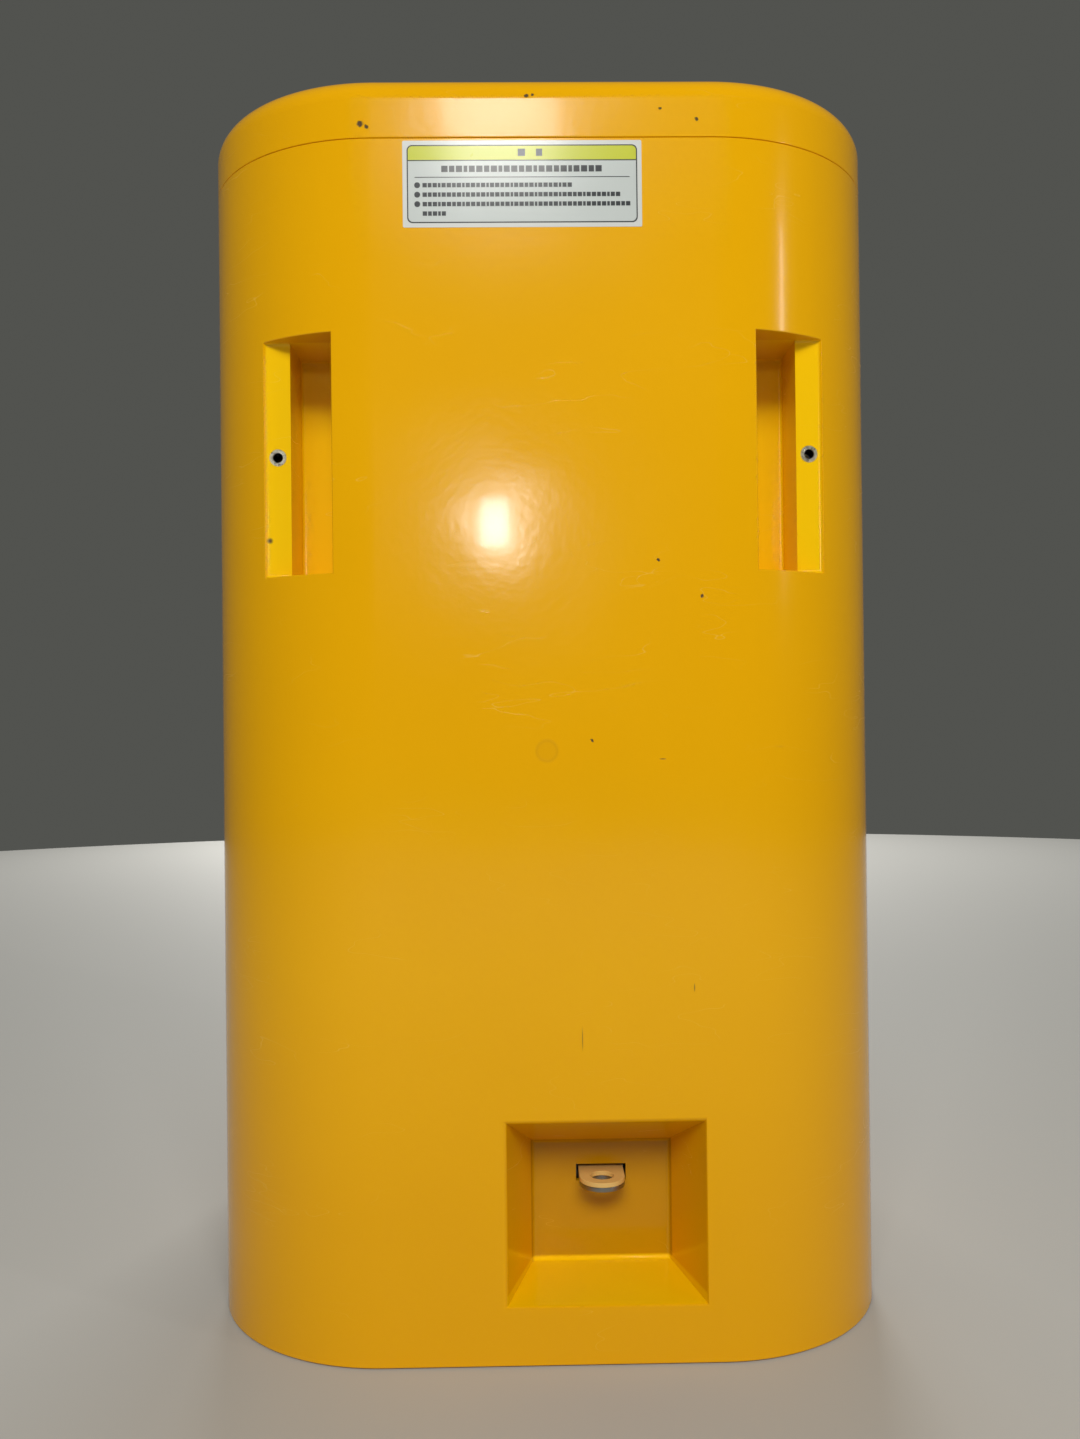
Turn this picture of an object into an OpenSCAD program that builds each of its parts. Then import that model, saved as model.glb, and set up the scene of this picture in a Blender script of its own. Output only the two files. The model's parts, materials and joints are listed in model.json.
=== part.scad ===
// Coin-operated ticket vending machine: a free-standing moulded cabinet with a lift-off lid,
// a hinged front door that carries the vending mechanism, and a locking cash drawer.
// Frame: +Z up, front at -Y, origin on the floor under the middle of the caster bolt holes.

/* [Cabinet] */
// Overall width of the cabinet
body_w = 300; // [270:5:360]
// Overall depth of the cabinet, front face to rear face
body_d = 300; // [280:5:360]
// Height of the cabinet shell, floor to seam
body_h = 504.5; // [500:0.5:610]
// Height of the lid above the seam
lid_h = 27.5; // [20:0.5:40]
// Radius of the two rear corners
rear_r = 80; // [66:1:84]
// Radius of the two front corners
front_r = 40; // [32:1:42]
// Wall of the moulded shell and lid
wall = 3; // [2.5:0.1:3.5]
// Radius of the lid's top edge
lid_edge_r = 11.5; // [8:0.5:14]
// Thickness of the steel base plate
base_t = 2.5; // [2:0.5:3]
// Distance between caster bolt holes
caster_pitch = 160; // [140:5:170]
// Radius of a caster bolt hole
caster_hole_r = 4.25; // [3.25:0.25:5.25]

/* [Rear grips and tie point] */
// Inner edge of a hand grip, from the middle plane
grip_x = 88; // [80:1:92]
// Width of a hand grip's mouth
grip_w = 30.5; // [28:0.5:32]
// Height of a hand grip
grip_h = 99.5; // [90:0.5:120]
// Height of the bottom of the hand grips
grip_z = 326; // [300:1:340]
// Depth of the finger groove
grip_depth = 45; // [35:1:48]
// Depth of the ledge that holds the threaded insert
ledge_depth = 17.5; // [17:0.5:22]
// Width of the finger groove
groove_w = 19.5; // [18:0.5:21]
// Radius of the insert's thread
insert_r = 2.1; // [1.6:0.1:2.6]
// Width of the tie pocket's mouth
pocket_w = 82.4; // [74:0.2:90]
// Height of the tie pocket's mouth
pocket_h = 75; // [70:1:80]
// Bottom edge of the tie pocket's mouth
pocket_z = 24.4; // [20:0.2:30]
// Depth of the tie pocket
pocket_depth = 40; // [34:1:44]
// Middle of the tie pocket
pocket_x = -22; // [-30:1:22]
// Width of a tie lug
lug_w = 19.7; // [16:0.1:22]
// Radius of the tie lugs' hole
lug_hole_r = 5.05; // [4:0.05:6]
// Thickness of one tie lug
lug_t = 2; // [1.5:0.1:2.4]
// Height of the face where the two lugs meet
lug_z = 64.5; // [60:0.5:70]

/* [Door and mechanism] */
// Half width of the door opening
door_half = 105; // [100:1:106]
// Bottom of the door opening
door_z0 = 116.5; // [114:0.5:118]
// Top of the door opening
door_z1 = 480; // [476:1:485]
// Gap around the door
door_gap = 1.5; // [1:0.1:2]
// Thickness of the door panel
door_t = 3.5; // [3:0.1:4]
// Height of the knob's axis
knob_z = 226; // [224:1:230]
// Radius of the knob
knob_r = 27; // [22:1:32]
// Radius of the knob's shaft
shaft_r = 5; // [4:0.5:5.5]
// Radial running clearance of shafts and pins
run_gap = 0.05; // [0.03:0.01:0.08]
// Gear module
gear_m = 1.5; // [1.5:0.25:1.75]
// Number of pinion teeth
gear_n = 24; // [20:2:24]

/* [Tickets and cash] */
// Width of a ticket
ticket_w = 59; // [54:1:60]
// Height of a ticket
ticket_h = 86; // [80:1:86]
// Length of the stack of tickets
stack_len = 150; // [100:5:170]
// Half width of the cash drawer opening
drawer_half = 72; // [68:1:76]
// Bottom of the cash drawer opening
drawer_z0 = 38; // [34:1:42]
// Top of the cash drawer opening
drawer_z1 = 104; // [100:1:106]
// Depth of the cash drawer
drawer_d = 126; // [100:2:140]

/* [Hidden] */
$fn = 64;
e = 0.01;

// Main planes
front_y = -body_d / 2;
rear_y = body_d / 2;
front_in = front_y + wall;
total_h = body_h + lid_h;
fit_gap = 0.3;

// Base and its fixings
boss_r = 7;
pilot_r = 1.6;
screw_r = 1.55;
screw_head_r = 3.2;
boss_top = 46;
rear_boss = rear_r - wall - boss_r + 0.7;
front_boss = front_r - wall - boss_r + 1;
caster_half = caster_pitch / 2;

// Grips
ledge_y = rear_y - ledge_depth;
groove_y = rear_y - grip_depth;
insert_x = grip_x + groove_w + (grip_w - groove_w) / 2;
insert_z = grip_z + 51;
insert_out_r = 3.6;
insert_len = 9;

// Tie pocket and lugs
pocket_taper = 11.1;
pocket_rise = 2;
pocket_drop = 20.7;
pocket_floor_y = rear_y - pocket_depth;
lug_reach = 19;
lug_centre_y = pocket_floor_y + lug_reach - lug_w / 2;
slot_w = lug_w + 2.3;
slot_top = lug_z + lug_t + 1.8;
slot_bottom = lug_z - lug_t - 1.5;

// Door
door_x = door_half - door_gap;
door_bottom = door_z0 + door_gap;
door_top = door_z1 - door_gap;
door_back = front_y + door_t;
hinge_x = -door_half + 6;
hinge_y = front_y + 5.5;
pin_r = 2;
knuckle_r = 4.5;
knuckle_h = 14;
bracket_t = 3;
window_half = 78;
window_z0 = 312;
window_z1 = 456;
pane_t = 1.8;
card_t = 0.4;
pane_lap = 6;

// Mechanism, front to back
pitch_r = gear_m * gear_n / 2;
tooth_pitch = PI * gear_m;
gear_y0 = front_y + 11;
gear_y1 = gear_y0 + 8;
disc_y0 = gear_y1 + 0.5;
disc_y1 = disc_y0 + 3;
spring_y0 = disc_y1 + 1;
plate_y0 = front_y + 28.5;
plate_y1 = plate_y0 + 1.5;
plate_half = 45;
plate_z0 = 170;
plate_z1 = 296;
rack_root_x = pitch_r + 1.25 * gear_m;
rack_back_x = rack_root_x + 7;
rack_z0 = knob_z - 12;
rack_z1 = knob_z + 68;
finger_z = 277;
finger_y1 = plate_y1 + 5;

// Coin path
slot_x = 60;
button_x = 80;
coin_z = 262;
chute_x0 = 52;
chute_x1 = 70;
chute_z0 = 168;
chute_z1 = 290;
chute_y1 = front_y + 13.5;
button_r = 6.9;
cup_x = 75;
outlet_half = 40;
outlet_z0 = 126;
outlet_z1 = 150;
cup_half = 14;
cup_z1 = 155;
frame_w = 3.5;
flap_pin_r = 1.2;

// Locks
door_lock_x = 85;
drawer_lock_x = -50;
drawer_lock_z = 86;
lock_body_r = 9;
lock_plug_r = 6;
cam_y0 = front_y + 23;
cam_t = 2;
cam_len = 26;

// Tickets
ticket_y0 = plate_y1 + 9;
ticket_z0 = 190;
mag_t = 2.5;
mag_half = ticket_w / 2 + 0.7;
mag_z0 = ticket_z0 - 4;
mag_y1 = ticket_y0 + stack_len + 62;
follower_y = ticket_y0 + stack_len + fit_gap;

// Inner frame and cash drawer
frame_t = 2;
frame_half = 77;
frame_y0 = front_y + 50;
frame_y1 = 80;
shelf_z1 = mag_z0;
box_half = drawer_half - 4;
box_z0 = drawer_z0 + 4.3;
box_z1 = drawer_z1 - 6;
box_y0 = front_y + 4;
box_y1 = box_y0 + drawer_d;
box_t = 2.5;
funnel_x = 46;

yellow = [0.95, 0.68, 0.0];
cream = [0.86, 0.82, 0.70];
steel = [0.62, 0.63, 0.62];
dark = [0.10, 0.10, 0.11];

// ---------------------------------------------------------------- shared shapes

// Plan outline of the cabinet, moved inwards by inset
module plan(inset = 0) {
  w = body_w / 2 - inset;
  d = body_d / 2 - inset;
  rr = rear_r - inset;
  rf = front_r - inset;
  union() {
    for (s = [-1, 1]) {
      translate([s * (w - rr), d - rr]) circle(rr, $fn = 128);
      translate([s * (w - rf), -d + rf]) circle(rf, $fn = 96);
    }
    translate([-(w - rr), -(d - rf)]) square([2 * (w - rr), 2 * d - rf]);
    translate([-w, -(d - rf)]) square([2 * w, 2 * d - rr - rf]);
    translate([-(w - rf), -d]) square([2 * (w - rf), rf + 1]);
  }
}

// A box from its lowest corner to its highest corner
module block(low, high) translate(low) cube(high - low);

// A cylinder along Y from y0 to y1, at x and z
module rod_y(x, z, r, y0, y1) translate([x, y1, z]) rotate([90, 0, 0]) cylinder(r = r, h = y1 - y0);

// A cylinder along X from x0 to x1, at y and z
module rod_x(y, z, r, x0, x1) translate([x0, y, z]) rotate([0, 90, 0]) cylinder(r = r, h = x1 - x0);

// A flat plate in the XZ plane, drawn as a 2D child, from y0 to y1
module plate_y(y0, y1) translate([0, y1, 0]) rotate([90, 0, 0]) linear_extrude(y1 - y0) children();

// A truncated pyramid that opens to the rear: the tie pocket, grown by grow and lengthened at the mouth
module pocket_shape(grow, deeper) {
  mouth = pocket_w / 2 + grow;
  floor_half = pocket_w / 2 - pocket_taper + grow;
  hull() {
    block([pocket_x - mouth, rear_y, pocket_z - grow], [pocket_x + mouth, rear_y + 1, pocket_z + pocket_h + grow]);
    block([pocket_x - floor_half, pocket_floor_y - deeper, pocket_z + pocket_rise - grow],
          [pocket_x + floor_half, pocket_floor_y - deeper + e, pocket_z + pocket_h - pocket_drop + grow]);
  }
}

// Both steps of one hand grip, grown by grow on every closed side
module grip_shape(side, grow) {
  z0 = grip_z - grow;
  z1 = grip_z + grip_h + grow;
  x0 = grip_x - grow;
  deep = x0 + groove_w + 2 * grow;
  wide = x0 + grip_w + 2 * grow;
  mirror([side < 0 ? 1 : 0, 0, 0]) {
    block([x0, groove_y - grow, z0], [deep, rear_y + 1, z1]);
    block([x0, ledge_y - grow, z0], [wide, rear_y + 1, z1]);
  }
}

// Positions of the four screw bosses
function boss_places() = [
  for (s = [-1, 1])
    each [[s * (body_w / 2 - rear_r + rear_boss * sqrt(0.5)), body_d / 2 - rear_r + rear_boss * sqrt(0.5)],
          [s * (body_w / 2 - front_r + front_boss * sqrt(0.5)), -body_d / 2 + front_r - front_boss * sqrt(0.5)]]
];

// ---------------------------------------------------------------- cabinet

module body_shell() color(yellow) {
  difference() {
    union() {
      linear_extrude(body_h) difference() {
        plan(0);
        plan(wall);
      }
      for (p = boss_places()) translate([p.x, p.y, base_t]) cylinder(r = boss_r, h = boss_top - base_t);
      intersection() {
        linear_extrude(body_h) plan(0);
        union() {
          grip_shape(1, wall);
          grip_shape(-1, wall);
          pocket_shape(wall, wall);
        }
      }
    }
    grip_shape(1, 0);
    grip_shape(-1, 0);
    pocket_shape(0, 0);
    for (s = [-1, 1]) rod_y(s * insert_x, insert_z, insert_out_r, ledge_y - insert_len - 1, ledge_y + 1);
    block([pocket_x - slot_w / 2, pocket_floor_y - wall - 1, slot_bottom],
          [pocket_x + slot_w / 2, pocket_floor_y + 1, slot_top]);
    block([-door_half, front_y - 1, door_z0], [door_half, front_in + 1, door_z1]);
    block([-drawer_half, front_y - 1, drawer_z0], [drawer_half, front_in + 1, drawer_z1]);
    for (p = boss_places()) translate([p.x, p.y, 0]) cylinder(r = pilot_r, h = 20);
  }
}

module base_plate() color(steel) difference() {
  linear_extrude(base_t) plan(wall + fit_gap);
  for (p = boss_places()) translate([p.x, p.y, -1]) {
    cylinder(r = pilot_r + 0.4, h = base_t + 2);
    translate([0, 0, 1]) cylinder(r1 = screw_head_r + 0.2, r2 = pilot_r + 0.4, h = 1.8);
  }
  for (x = [-1, 1], y = [-1, 1]) translate([x * caster_half, y * caster_half, -1])
    cylinder(r = caster_hole_r, h = base_t + 2);
}

module base_screws() color(steel) for (p = boss_places()) translate([p.x, p.y, 0.2]) {
  cylinder(r1 = screw_head_r, r2 = screw_r, h = 1.6);
  cylinder(r = screw_r, h = 16);
}

// A tongue with a round end and a hole, lying flat between heights z0 and z1
module tongue(y0, z0, z1) difference() {
  union() {
    block([pocket_x - lug_w / 2, y0, z0], [pocket_x + lug_w / 2, lug_centre_y, z1]);
    translate([pocket_x, lug_centre_y, z0]) cylinder(r = lug_w / 2, h = z1 - z0);
  }
  translate([pocket_x, lug_centre_y, z0 - 1]) cylinder(r = lug_hole_r, h = z1 - z0 + 2);
}

// Steel angle that stands on the base plate and carries the lower lug
module hasp_bracket() color(steel) {
  back = pocket_floor_y - wall - 9;
  tongue(back, lug_z - lug_t, lug_z);
  block([pocket_x - lug_w / 2, back, base_t], [pocket_x + lug_w / 2, back + lug_t, lug_z - lug_t]);
  block([pocket_x - 20, back - 14, base_t], [pocket_x + 20, back + lug_t, base_t + lug_t]);
}

// Upper lug, bent from a plate that is fixed to the rear of the inner frame
module tie_lug() color([0.88, 0.72, 0.38]) {
  tongue(frame_y1, lug_z, lug_z + lug_t);
  block([pocket_x - 16, frame_y1, lug_z], [pocket_x + 16, frame_y1 + lug_t, lug_z + 32]);
}

module grip_inserts() color([0.45, 0.40, 0.30]) for (s = [-1, 1]) difference() {
  rod_y(s * insert_x, insert_z, insert_out_r, ledge_y - insert_len, ledge_y + 0.3);
  rod_y(s * insert_x, insert_z, insert_r, ledge_y - insert_len - 1, ledge_y + 1);
}

module rear_label() color([0.85, 0.87, 0.86])
  block([-41, rear_y, body_h - 37], [57.5, rear_y + 0.25, body_h - 1.2]);

// Lid: a rounded top edge, a plain side and a skirt that drops inside the shell
module lid() color(yellow) {
  difference() {
    lid_outside();
    translate([0, 0, body_h - 1]) linear_extrude(lid_h - lid_edge_r + 1) plan(wall);
    translate([0, 0, body_h - 1]) linear_extrude(lid_h - wall + 1) plan(lid_edge_r);
  }
  translate([0, 0, body_h - 12]) linear_extrude(12 + lid_h - lid_edge_r) difference() {
    plan(wall + fit_gap);
    plan(wall + fit_gap + 2.2);
  }
  translate([0, 0, body_h]) linear_extrude(2) difference() {
    plan(wall - 0.5);
    plan(wall + 1);
  }
}

// Outside of the lid: four round posts with a quarter-round top edge, hulled
module lid_outside() hull() for (s = [-1, 1]) {
  translate([s * (body_w / 2 - rear_r), body_d / 2 - rear_r, body_h]) lid_post(rear_r);
  translate([s * (body_w / 2 - front_r), -body_d / 2 + front_r, body_h]) lid_post(front_r);
}

module lid_post(r) rotate_extrude($fn = 96) polygon(concat(
  [[0, 0], [r, 0]],
  [for (a = [0 : 10 : 90]) [r - lid_edge_r * (1 - cos(a)), lid_h - lid_edge_r * (1 - sin(a))]],
  [[0, lid_h]]
));

module lid_clips() color(steel) {
  y = body_d / 2 - wall - fit_gap - 2.2;
  for (x = [-1, 1], s = [-1, 1])
    block([x * 55 - 6, s > 0 ? y - 1.2 : -y, body_h - 20], [x * 55 + 6, s > 0 ? y : -y + 1.2, body_h - 2]);
}

// ---------------------------------------------------------------- inside the cabinet

// Folded frame: a shelf for the magazine on two sides and a rear wall, with feet on the base plate
module inner_frame() color(cream) {
  difference() {
    union() {
      for (s = [-1, 1]) {
        block([s > 0 ? frame_half - frame_t : -frame_half, frame_y0, base_t],
              [s > 0 ? frame_half : -frame_half + frame_t, frame_y1, shelf_z1]);
        block([s > 0 ? frame_half : -frame_half - 14, frame_y0, base_t],
              [s > 0 ? frame_half + 14 : -frame_half, frame_y1, base_t + frame_t]);
      }
      block([-frame_half, frame_y0, shelf_z1 - frame_t], [frame_half, frame_y1, shelf_z1]);
      block([-frame_half, frame_y1 - frame_t, base_t], [frame_half, frame_y1, shelf_z1]);
    }
    for (s = [-1, 1], y = [frame_y0 + 20, frame_y1 - 20])
      translate([s * (frame_half + 8), y, 0]) cylinder(r = pilot_r, h = 10);
  }
}

module frame_screws() color(steel)
  for (s = [-1, 1], y = [frame_y0 + 20, frame_y1 - 20]) translate([s * (frame_half + 8), y, base_t]) {
    cylinder(r = screw_r, h = frame_t);
    translate([0, 0, frame_t]) cylinder(r = 3.2, h = 2.2);
  }

// Open channel that holds the tickets on edge, with two lips across its front
module ticket_magazine() color(cream) {
  out = mag_half + mag_t;
  y0 = ticket_y0 - 2;
  block([-out, ticket_y0 + 1.5, mag_z0], [out, mag_y1, ticket_z0 - 0.5]);
  for (s = [-1, 1]) {
    block([s > 0 ? mag_half : -out, y0, mag_z0], [s > 0 ? out : -mag_half, mag_y1, ticket_z0 + 58]);
    block([s > 0 ? mag_half - 5 : -mag_half, y0, ticket_z0 + 6],
          [s > 0 ? mag_half : -mag_half + 5, ticket_y0 - 0.3, ticket_z0 + 58]);
  }
}

// Bundles of tickets, standing on edge
module ticket_stack() color([0.93, 0.92, 0.88]) {
  count = floor(stack_len / 10);
  each_len = stack_len / count;
  for (i = [0 : count - 1])
    block([-ticket_w / 2, ticket_y0 + i * each_len, ticket_z0],
          [ticket_w / 2, ticket_y0 + (i + 1) * each_len - 0.3, ticket_z0 + ticket_h]);
}

// Plate that keeps the stack upright and pressed to the front
module stack_follower() color(dark) difference() {
  union() {
    block([-mag_half + 1.5, follower_y, ticket_z0], [mag_half - 1.5, follower_y + 3, ticket_z0 + 74]);
    block([-mag_half + 1.5, follower_y + 3, ticket_z0], [mag_half - 1.5, follower_y + 20, ticket_z0 + 3]);
    for (s = [-1, 1])
      block([s * 20 - 1.5, follower_y + 3, ticket_z0 + 3], [s * 20 + 1.5, follower_y + 16, ticket_z0 + 30]);
  }
  rod_y(0, ticket_z0 + 60, 7, follower_y - 1, follower_y + 4);
}

// Constant-force strip spring, rolled up behind the follower
module follower_spring() color(steel) {
  y = follower_y + 12;
  difference() {
    rod_x(y, ticket_z0 + 14, 8, -9, 9);
    rod_x(y, ticket_z0 + 14, 6, -10, 10);
  }
  rod_x(y, ticket_z0 + 14, 2.5, -18.5, 18.5);
  for (i = [0 : 5]) rotate_spoke(y, i * 60);
}

// One of the six arms of the spring's drum
module rotate_spoke(y, a) translate([0, y, ticket_z0 + 14]) rotate([a, 0, 0]) block([-8, -0.6, 2], [8, 0.6, 6.5]);

module drawer_runners() color(steel) for (s = [-1, 1]) {
  x = frame_half - frame_t;
  mirror([s < 0 ? 1 : 0, 0, 0]) {
    block([box_half - 5, frame_y0, box_z0 - 2.3], [x, frame_y1 - frame_t, box_z0 - fit_gap]);
    block([box_half + 1, frame_y0, box_z0 - fit_gap], [x, frame_y1 - frame_t, box_z0 + 8]);
  }
}

// Guides accepted coins from the door into the cash drawer
module coin_funnel() color(dark) difference() {
  block([funnel_x - 9, front_in, drawer_z1 + 1], [funnel_x + 9, front_in + 18, door_z0 - 1]);
  block([funnel_x - 6, front_in + 4, drawer_z1], [funnel_x + 6, front_in + 14, door_z0]);
}

// Angles on the inside of the front wall that hold the door's pivot pins
module hinge_brackets() color(steel) for (top = [0, 1]) {
  z = top ? door_z1 + 0.5 : door_z0 - 0.5 - bracket_t;
  difference() {
    union() {
      block([hinge_x - 10, front_in, z], [hinge_x + 12, front_in + 9, z + bracket_t]);
      block([hinge_x - 10, front_in, top ? z : z - 6], [hinge_x + 12, front_in + 2, top ? z + 9 : z + bracket_t]);
    }
    translate([hinge_x, hinge_y, z - 10]) cylinder(r = pin_r, h = 30);
  }
}

module hinge_pins() color(steel) {
  translate([hinge_x, hinge_y, door_top - 11]) cylinder(r = pin_r, h = 17);
  translate([hinge_x, hinge_y, door_bottom - 6]) cylinder(r = pin_r, h = 17);
}

// Catches for the two lock cams, fixed behind the front wall
module lock_strikes() color(steel) {
  block([door_half + 0.8, front_in, knob_z - 8], [door_half + 4.8, cam_y0 - 3, knob_z + 8]);
  block([door_half + 0.8, cam_y0 - 3, knob_z - 8], [door_half + 13, cam_y0 - 1, knob_z + 8]);
  block([drawer_lock_x - 8, front_in, drawer_z1 + 3], [drawer_lock_x + 8, cam_y0 - 3, drawer_z1 + 9]);
  block([drawer_lock_x - 8, cam_y0 - 3, drawer_z1 + 0.8], [drawer_lock_x + 8, cam_y0 - 1, drawer_z1 + 9]);
}

// ---------------------------------------------------------------- door

// Door panel with a chamfered hinge edge, a rear flange, two knuckles and the front apertures
module door_panel() color(cream) difference() {
  union() {
    translate([0, 0, door_bottom]) linear_extrude(door_top - door_bottom) polygon([
      [-door_x + 2, front_y], [door_x, front_y], [door_x, door_back], [-door_x, door_back], [-door_x, front_y + 2]
    ]);
    difference() {
      block([-door_x + 9.5, door_back, door_bottom], [door_x - 3, door_back + 7.5, door_top - 2]);
      block([-door_x + 12, door_back - 1, door_bottom + 2.2], [door_x - 5.5, door_back + 8, door_top - 4.3]);
      block([funnel_x - 5, door_back + 0.5, door_bottom - 1], [funnel_x + 13, door_back + 8, door_bottom + 3]);
    }
    for (z = [door_bottom, door_top - knuckle_h]) translate([hinge_x, hinge_y, z])
      cylinder(r = knuckle_r, h = knuckle_h);
  }
  for (z = [door_bottom - 1, door_top - knuckle_h + 2]) translate([hinge_x, hinge_y, z])
    cylinder(r = pin_r + run_gap, h = knuckle_h - 1);
  block([-window_half, front_y - 1, window_z0], [window_half, door_back + 1, window_z1]);
  block([slot_x - 3, front_y - 1, coin_z - 16], [slot_x + 3, door_back + 1, coin_z + 16]);
  rod_y(button_x, coin_z, button_r + 2.1, front_y - 1, door_back + 1);
  rod_y(0, knob_z, 9.1, front_y - 1, door_back + 1);
  rod_y(door_lock_x, knob_z, lock_body_r + 0.1, front_y - 1, door_back + 1);
  for (t = [[0, outlet_half, outlet_z1], [cup_x, cup_half, cup_z1]])
    block([t[0] - t[1] - frame_w, front_y - 1, outlet_z0 - frame_w],
          [t[0] + t[1] + frame_w, door_back + 1, t[2] + frame_w]);
}

module window_pane() color([0.8, 0.9, 0.95, 0.3])
  block([-window_half - pane_lap, door_back, window_z0 - pane_lap],
        [window_half + pane_lap, door_back + pane_t, window_z1 + pane_lap]);

module display_card() color([0.92, 0.93, 0.95])
  block([-window_half - pane_lap, door_back + pane_t, window_z0 - pane_lap],
        [window_half + pane_lap, door_back + pane_t + card_t, window_z1 + pane_lap]);

function retainer_screw_places() = [
  for (s = [-1, 1], k = [0.1, 0.5, 0.9]) [s * (window_half + pane_lap + 2.1), window_z0 + k * (window_z1 - window_z0)]
];

module window_retainer() color(dark) {
  half = window_half + pane_lap;
  y0 = door_back + pane_t + card_t;
  difference() {
    block([-half - 4, door_back, window_z0 - pane_lap - 4], [half + 4, y0 + 2.5, window_z1 + pane_lap + 4]);
    block([-half - 0.1, door_back - 1, window_z0 - pane_lap - 0.1], [half + 0.1, y0, window_z1 + pane_lap + 0.1]);
    block([-half + 9, y0 - 1, window_z0 + 3], [half - 9, y0 + 4, window_z1 - 3]);
    for (p = retainer_screw_places()) rod_y(p.x, p.y, 1.25, door_back - 1, y0 + 4);
  }
}

module retainer_screws() color(steel) for (p = retainer_screw_places()) {
  back = door_back + pane_t + card_t + 2.5;
  rod_y(p.x, p.y, 1.2, door_back, back);
  rod_y(p.x, p.y, 2.2, back, back + 1.6);
}

// Steel plate on four pillars that carries the knob's shaft, the rack guide and the coin latch
module mechanism_plate() color(steel) difference() {
  block([-plate_half, plate_y0, plate_z0], [plate_half, plate_y1, plate_z1]);
  rod_y(0, knob_z, shaft_r + run_gap, plate_y0 - 1, plate_y1 + 1);
  block([rack_root_x - 0.4, plate_y0 - 1, finger_z - PI * pitch_r - 3], [rack_back_x + 0.4, plate_y1 + 1, finger_z + 8]);
}

module plate_standoffs() color(steel) for (x = [-40, 40], z = [plate_z0 + 6, plate_z1 - 6])
  rod_y(x, z, 3.5, door_back, plate_y0);

// Round escutcheon with a sleeve through the door, which is the shaft's front bearing
module knob_bezel() color(dark) difference() {
  union() {
    rod_y(0, knob_z, knob_r + 11, front_y - 2, front_y);
    rod_y(0, knob_z, knob_r + 5, front_y - 3, front_y);
    rod_y(0, knob_z, 9, front_y, gear_y0 - 0.5);
  }
  rod_y(0, knob_z, shaft_r + run_gap, front_y - 4, gear_y0);
}

module coin_plate() color([0.75, 0.75, 0.76]) difference() {
  block([slot_x - 10, front_y - 1.8, coin_z - 22], [button_x + 12, front_y, coin_z + 24]);
  block([slot_x - 1.5, front_y - 3, coin_z - 14], [slot_x + 1.5, front_y + 1, coin_z + 14]);
  rod_y(button_x, coin_z, button_r + 0.1, front_y - 3, front_y + 1);
}

// Coin passage behind the slot, with a side tube to the cash drawer and a seat for the button spring
module coin_chute() color(cream) difference() {
  union() {
    block([chute_x0, door_back, chute_z0], [chute_x1, chute_y1, chute_z1]);
    block([funnel_x - 1.5, door_back, door_bottom + 2.5], [funnel_x + 10.5, chute_y1, chute_z0 + 22]);
    block([chute_x1 - 1, chute_y1 - 2, coin_z - 12], [button_x + 12, chute_y1, coin_z + 12]);
  }
  block([chute_x0 + 2, door_back + 1.5, chute_z0 - 1], [chute_x1 - 2, chute_y1 - 1.5, chute_z1 - 2]);
  block([funnel_x, door_back + 1.5, door_bottom], [funnel_x + 9, chute_y1 - 1.5, chute_z0 + 17]);
  block([funnel_x, door_back + 1.5, chute_z0 + 4], [chute_x1 - 2, chute_y1 - 1.5, chute_z0 + 17]);
  block([slot_x - 1.5, door_back - 1, coin_z - 14], [slot_x + 1.5, door_back + 2, coin_z + 14]);
  rod_y(button_x, coin_z, 3.3, chute_y1 - 3, chute_y1 + 1);
}

// A tray that opens to the front: middle cx, half width, ceiling z1, rear wall y1, slot in its top
module tray(cx, half, z1, y1, top_y0, top_y1) difference() {
  union() {
    block([cx - half - frame_w, front_y, outlet_z0 - frame_w], [cx + half + frame_w, y1, z1 + frame_w]);
    block([cx - half - frame_w - 2, front_y - 1.5, outlet_z0 - frame_w - 2],
          [cx + half + frame_w + 2, front_y, z1 + frame_w + 2]);
  }
  block([cx - half, front_y - 3, outlet_z0], [cx + half, y1 - 2, z1]);
  block([cx - half + 1, top_y0, z1 - 1], [cx + half - 1, top_y1, z1 + frame_w + 1]);
  rod_x(front_y + 2.2, z1 - 2, flap_pin_r + run_gap, cx - half - 2.5, cx + half + 2.5);
}

// A flap hung at the front of a tray on two short pins
module flap(cx, half, z1) {
  y = front_y + 2.2;
  block([cx - half + 0.7, y - 0.8, outlet_z0 + 1], [cx + half - 0.7, y + 0.8, z1 - 2]);
  rod_x(y, z1 - 2, 1.6, cx - half + 0.7, cx + half - 0.7);
  rod_x(y, z1 - 2, flap_pin_r, cx - half - 2.2, cx + half + 2.2);
}

module outlet_chute() color(dark) tray(0, outlet_half, outlet_z1, frame_y0 - 3, plate_y1 + 1, frame_y0 - 5);
module return_cup() color(dark) tray(cup_x, cup_half, cup_z1, front_y + 28, front_y + 5, chute_y1);
module outlet_flap() color([0.75, 0.80, 0.85, 0.5]) flap(0, outlet_half, outlet_z1);
module return_flap() color([0.75, 0.75, 0.76]) flap(cup_x, cup_half, cup_z1);

// Channel that backs the rack and stops it tipping forwards
module rack_guide() color(dark) {
  block([rack_back_x + fit_gap, gear_y0 - 3, knob_z - 30], [rack_back_x + fit_gap + 3, plate_y0, knob_z + 36]);
  block([rack_root_x + 1.2, gear_y0 - 3, knob_z - 30], [rack_back_x + fit_gap, gear_y0 - fit_gap, knob_z + 36]);
}

latch_x = -34;
disc_r = 14;
module latch_pin() color(steel) rod_y(latch_x, knob_z, pin_r, disc_y0 - 1.5, plate_y0);

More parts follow.
